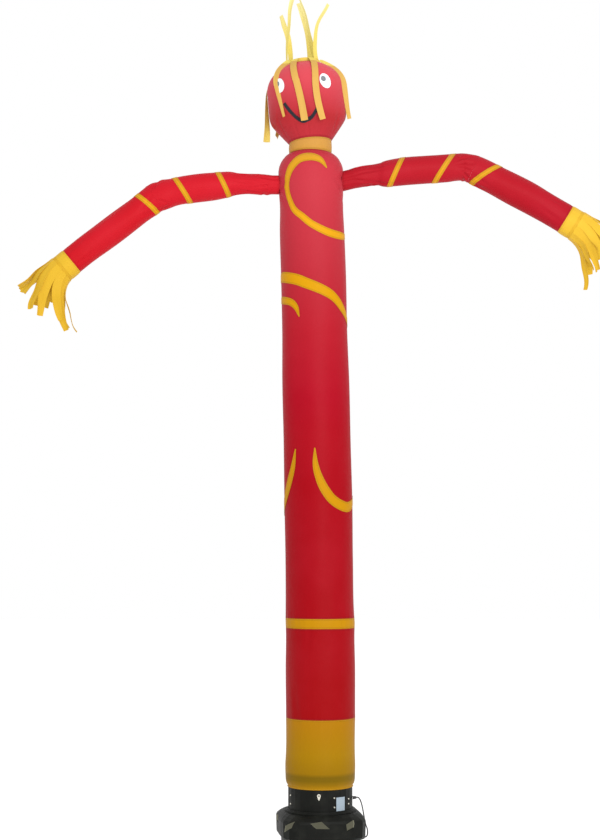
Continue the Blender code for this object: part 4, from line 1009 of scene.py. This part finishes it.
# Hair: long yellow ribbons on a narrow ring sewn round the vent. The air holds some of them up, and the
# others fall over the head.
HAIR_RING_HEIGHT = 0.024
HAIR_WIDTH = 0.046
HAIR_CLEARANCE = 0.007
HAIR_SLOTS = 14
RIBBON_THICKNESS = 0.0014
# slot, azimuth halfway in degrees, azimuth of the tip, length, width at the tip, how far the tip stands
# off, twist at the root and at the tip in degrees
FALLING_HAIR = (
    (13, -13.5, -6.8, 0.545, 0.048, 0.000, 0.0, 0.0),
    (1, 13.5, 19.5, 0.540, 0.044, 0.000, 0.0, 4.0),
    (3, 72.0, 82.0, 0.490, 0.044, 0.012, 34.0, 42.0),
    (7, 176.0, 172.0, 0.460, 0.046, 0.000, 0.0, 5.0),
    (8, -150.0, -126.0, 0.515, 0.048, 0.010, 0.0, -10.0),
    (10, -104.0, -104.0, 0.573, 0.050, 0.036, -40.0, 70.0),
    (12, -47.5, -37.6, 0.488, 0.020, 0.000, -34.0, -6.0),
)
# slot, height of the tip above the ring, sideways travel of the tip, bow to the side, depth of the tip,
# twist of the tip in degrees
RISING_HAIR = (
    (2, 0.365, 0.078, -0.028, -0.060, 16.0),
    (5, 0.490, -0.110, -0.010, 0.000, -40.0),
    (6, 0.470, -0.082, 0.012, 0.030, 30.0),
    (9, 0.378, -0.070, 0.014, 0.015, -86.0),
    (11, 0.465, 0.040, -0.006, -0.020, 50.0),
)
RIBBON_CELLS = 6
# A ribbon keeps most of its twist for its tip, and flutters and waves a little
TWIST_LAG = 1.4
FLUTTER = 0.10
EDGE_WAVE = 0.05
# Falling ribbons lift off the ring, and narrow towards the tip
ROOT_LIFT = 0.016
ROOT_LIFT_REACH = 0.05
NARROWING = 1.6


def ribbon_grid(points, normals, widths, twist, cup, wave, seed, root_twist=0.0):
    """The grid of a ribbon along points. It cups across, waves, and twists towards its tip."""
    count = len(points)
    share = np.linspace(0.0, 1.0, count)
    along = np.gradient(points, axis=0)
    along /= np.linalg.norm(along, axis=1, keepdims=True)
    normals = normals - along * np.sum(normals * along, axis=1, keepdims=True)
    normals /= np.linalg.norm(normals, axis=1, keepdims=True)
    across = np.cross(normals, along)
    turn = (math.radians(root_twist) + math.radians(twist - root_twist) * share ** TWIST_LAG
            + FLUTTER * np.sin(9.0 * share + seed) * share)[:, None]
    across, normals = (across * np.cos(turn) + normals * np.sin(turn),
                       normals * np.cos(turn) - across * np.sin(turn))
    place = np.linspace(-0.5, 0.5, RIBBON_CELLS + 1)
    ripple = wave * share * np.sin(2.0 * np.pi * (1.6 * share + 0.13 * seed))
    offset = widths[:, None] * place[None, :]
    narrow = 1.0 - 0.10 * (0.5 + 0.5 * np.sin(5.0 * share + seed))[:, None] * share[:, None]
    edge_wave = EDGE_WAVE * widths[:, None] * np.sin(7.0 * place[None, :] + 4.0 * share[:, None] + seed)
    rise = (cup * widths[:, None] * (0.25 - place[None, :] ** 2) * share[:, None] + ripple[:, None]
            + edge_wave * share[:, None])
    grid = (points[:, None, :] + across[:, None, :] * (offset * narrow)[..., None]
            + normals[:, None, :] * rise[..., None])
    length = np.concatenate([[0.0], np.cumsum(np.linalg.norm(np.diff(points, axis=0), axis=1))])
    u, v = length[:, None] + 0.0 * offset, offset
    return {"points": grid, "u": u, "v": v, "seam": 0.02 + 0.0 * offset, "closed": False,
            "core": grid - normals[:, None, :]}


def falling_hair(slot, middle, tip, length, tip_width, stand_off, root_twist, twist):
    """A ribbon that runs over the crown and down past the side of the head."""
    start = math.radians(360.0 / HAIR_SLOTS * slot)
    start -= 2.0 * math.pi if start > math.pi else 0.0
    steps = 40
    angle, height = math.acos(VENT_RADIUS / HEAD_RADIUS), VENT_HEIGHT
    top = VENT_HEIGHT + SEAM_GAP + HAIR_RING_HEIGHT - 0.002
    points = [head_frame(VENT_RADIUS * math.sin(start), -VENT_RADIUS * math.cos(start), top)]
    normals = [head_frame(0.0, 0.0, 1.0) - head_frame(0.0, 0.0, 0.0)]
    for step in range(1, steps + 1):
        share = step / steps
        if angle > 0.0:
            stride = math.hypot(CROWN_RISE * math.cos(angle), HEAD_RADIUS * math.sin(angle))
            angle = max(0.0, angle - length / steps / stride)
            height = CROWN_START + CROWN_RISE * math.sin(angle)
        else:
            height -= length / steps
        azimuth = (start * (1.0 - share) * (1.0 - 2.0 * share)
                   + math.radians(middle) * 4.0 * share * (1.0 - share)
                   + math.radians(tip) * share * (2.0 * share - 1.0))
        tilt = math.atan2(HEAD_RADIUS * math.sin(angle), CROWN_RISE * math.cos(angle))
        out = (head_frame(math.cos(tilt) * math.sin(azimuth), -math.cos(tilt) * math.cos(azimuth),
                          math.sin(tilt)) - head_frame(0.0, 0.0, 0.0))
        radius = HEAD_RADIUS * math.cos(angle)
        standing = (HAIR_CLEARANCE + ROOT_LIFT * math.exp(-share * length / ROOT_LIFT_REACH)
                    + stand_off * share ** 2)
        points.append(head_frame(radius * math.sin(azimuth), -radius * math.cos(azimuth), height)
                      + out * standing)
        normals.append(out)
    widths = HAIR_WIDTH + (tip_width - HAIR_WIDTH) * np.linspace(0.0, 1.0, steps + 1) ** NARROWING
    return ribbon_grid(np.array(points), np.array(normals), widths, twist, 0.10, 0.003, slot, root_twist)


def rising_hair(slot, height, travel, bow, depth, twist):
    """A ribbon that stands up in the air stream."""
    start = math.radians(360.0 / HAIR_SLOTS * slot)
    top = VENT_HEIGHT + SEAM_GAP + HAIR_RING_HEIGHT - 0.002
    root = head_frame(VENT_RADIUS * math.sin(start), -VENT_RADIUS * math.cos(start), top)
    inward = head_frame(0.0, 0.0, 0.0) - head_frame(math.sin(start), -math.cos(start), 0.0)
    share = np.linspace(0.0, 1.0, 36)
    bend = share ** 1.5
    points = root + np.stack([travel * bend + bow * np.sin(np.pi * share), depth * bend, height * share], axis=-1)
    widths = HAIR_WIDTH * (1.0 - 0.25 * share)
    return ribbon_grid(points, np.repeat(inward[None, :], 36, axis=0), widths, twist, 0.25, 0.008, slot)


def ring_grid(frame_at, radius, bottom, top, cells):
    """The grid of the narrow ring that ribbons are sewn into."""
    azimuth = 2.0 * np.pi * np.arange(cells)[None, :] / cells
    heights = np.array((bottom, (bottom + top) / 2.0, top))[:, None]
    points = frame_at(radius * np.sin(azimuth) + 0.0 * heights, -radius * np.cos(azimuth) + 0.0 * heights,
                      heights + 0.0 * azimuth)
    u, v = np.meshgrid(2.0 * np.pi * np.arange(cells + 1) / cells * radius, heights[:, 0])
    return {"points": points, "u": u, "v": v, "seam": 0.006 + 0.0 * points[..., 0], "closed": True,
            "core": points.mean(axis=(0, 1), keepdims=True)}


# Painted light: the hair is painted paler towards the top, where daylight comes through the rising ribbons, glows
# with painted light that stands in for light through the cloth, and is painted peach where the red head behind
# shines through it
hair_yellow = nylon("hair_yellow", ((4.9, (204, 180, 90)), (5.35, (206, 182, 88)), (5.45, (214, 194, 92)),
                                    (5.60, (212, 192, 100)), (5.95, (216, 208, 150))),
                    stitch=((240, 220, 130), (190, 142, 30), (236, 200, 90)), glow=(80, 72, 30),
                    painted_head_light=(190, 146, 74))
hair_grids = [ring_grid(head_frame, VENT_RADIUS - 0.001, VENT_HEIGHT + SEAM_GAP,
                        VENT_HEIGHT + SEAM_GAP + HAIR_RING_HEIGHT, 84)]
hair_grids += [falling_hair(*row) for row in FALLING_HAIR] + [rising_hair(*row) for row in RISING_HAIR]
hair = make_cloth("hair_ribbons", hair_grids, hair_yellow, RIBBON_THICKNESS, 0.0, "hair")

# Hands: short yellow cuffs on the ends of the sleeves, and a fringe of ribbons sewn inside each, which the
# air lifts in front and lets hang below.
# Painted light: the hands and fringes are painted a little lighter towards the top and glow with painted light
# that stands in for light coming through the ribbons
ribbon_yellow = nylon("ribbon_yellow", ((3.6, (192, 152, 36)), (4.3, (204, 164, 46)), (4.6, (204, 160, 50))),
                      stitch=((236, 200, 90), (170, 122, 16), (236, 200, 90)), glow=(60, 44, 6))
HAND_LENGTH = 0.070
HAND_SWELL = 1.04
FRINGE_RING = 0.022
# The air holds a hand's ribbon back as it falls, blows it sideways, and widens it halfway
AIR_HOLD = 0.72
SIDE_BLOW = 6.0
MIDDLE_WIDENING = 0.016
# Ribbons of a hand from its top round towards the front: length, droop, drift, width at the tip, twist
FRINGES = {
    "left": (
        (0.300, 0.05, 0.000, 0.070, 8.0),
        (0.310, 0.45, 0.020, 0.066, -12.0),
        (0.375, 1.10, 0.045, 0.056, 24.0),
        (0.375, 1.40, 0.050, 0.046, -30.0),
        (0.345, 2.60, 0.030, 0.042, 20.0),
        (0.385, 2.70, 0.012, 0.038, 50.0),
        (0.380, 4.00, -0.004, 0.030, -20.0),
        (0.350, 2.70, -0.028, 0.042, 35.0),
        (0.215, 0.50, -0.045, 0.042, -25.0),
        (0.285, 0.90, -0.062, 0.040, 30.0),
        (0.320, 0.70, -0.045, 0.052, -18.0),
        (0.305, 0.05, -0.020, 0.068, 10.0),
    ),
    "right": (
        (0.305, 0.10, 0.000, 0.050, 8.0),
        (0.290, 0.30, 0.040, 0.048, -15.0),
        (0.300, 0.55, 0.055, 0.046, 25.0),
        (0.280, 1.00, 0.050, 0.042, -30.0),
        (0.330, 1.20, 0.035, 0.038, 30.0),
        (0.290, 1.10, 0.015, 0.034, 40.0),
        (0.390, 1.70, -0.004, 0.030, -50.0),
        (0.300, 1.00, -0.025, 0.038, 45.0),
        (0.325, 0.75, -0.042, 0.040, -25.0),
        (0.285, 0.62, -0.055, 0.042, 30.0),
        (0.300, 0.45, -0.050, 0.046, -18.0),
        (0.285, 0.22, -0.030, 0.048, 10.0),
    ),
}


def hand_pieces(side):
    """A hand's cuff and the fringe in it."""
    sleeve = sleeves[side + "_fore"]
    centre, radius = sleeve.axis[-1], sleeve.radius[-1]
    rows = ARMS[side + "_fore"][0]
    heading = math.atan2(rows[-1][1] - rows[-2][1], rows[-1][0] - rows[-2][0])
    along = np.array((math.cos(heading), 0.0, math.sin(heading)))
    up = np.array((-along[2], 0.0, along[0])) * sleeve.outward
    front = np.array((0.0, -1.0, 0.0))

    def place(x, y, depth):
        return (centre + along * np.asarray(depth)[..., None] + up * np.asarray(-y)[..., None]
                + front * np.asarray(x)[..., None])

    azimuth = 2.0 * np.pi * np.arange(ARM_CELLS)[None, :] / ARM_CELLS
    depth = np.linspace(SEAM_GAP, HAND_LENGTH, 12)[:, None]
    share = depth / HAND_LENGTH
    size = (radius * (1.0 + (HAND_SWELL - 1.0) * np.sin(np.clip(share * 2.5, 0.0, 1.0) * np.pi / 2.0))
            + 1.3 * gather(azimuth, depth, 9.0) * np.clip(share * 6.0, 0.0, 1.0)
            + 0.0015 * np.sin(7.0 * azimuth + 2.0) * share)
    points = place(size * np.sin(azimuth), -size * np.cos(azimuth), depth + 0.0 * azimuth)
    u, v = np.meshgrid(2.0 * np.pi * np.arange(ARM_CELLS + 1) / ARM_CELLS * ARM_SCALE, depth[:, 0])
    cuff = make_cloth(side + "_hand_cuff", [{"points": points, "u": u, "v": v, "seam": depth + 0.0 * azimuth,
                                             "closed": True, "core": points.mean(axis=1, keepdims=True)}],
                      ribbon_yellow, CLOTH, -1.0, side + "_hand")

    wide = radius * HAND_SWELL - 0.001
    start = HAND_LENGTH + SEAM_GAP
    end = start + FRINGE_RING
    grids = [ring_grid(place, wide, start, end, ARM_CELLS)]
    rows = FRINGES[side]
    for slot, (length, droop, drift, tip_width, twist) in enumerate(rows):
        angle = 2.0 * math.pi * slot / len(rows)
        root_width = 2.0 * wide * math.sin(math.pi / len(rows)) * 1.02
        point = place(wide * math.sin(angle), -wide * math.cos(angle), end - 0.003)
        inward = place(0.0, 0.0, 0.0) - place(math.sin(angle), -math.cos(angle), 0.0)
        steps = 32
        route = [point]
        for step in range(1, steps + 1):
            share = (step - 0.5) / steps
            fall = droop * share ** 0.8
            pull = along * (1.0 - AIR_HOLD * fall) + np.array((0.0, -drift * SIDE_BLOW * share, -fall))
            point = point + pull / np.linalg.norm(pull) * length / steps
            route.append(point)
        share = np.linspace(0.0, 1.0, steps + 1)
        widths = root_width + (tip_width - root_width) * share + MIDDLE_WIDENING * np.sin(np.pi * share)
        normals = np.repeat(inward[None, :], steps + 1, axis=0)
        grids.append(ribbon_grid(np.array(route), normals, widths, twist, 0.30, 0.010, slot + 0.5))
    fringe = make_cloth(side + "_hand_ribbons", grids, ribbon_yellow, RIBBON_THICKNESS, 0.0,
                        side + "_fringe")
    drop = max(row[0] for row in rows) + FRINGE_RING
    0.8 * 0.62 * drop


hand_pieces("left")
hand_pieces("right")
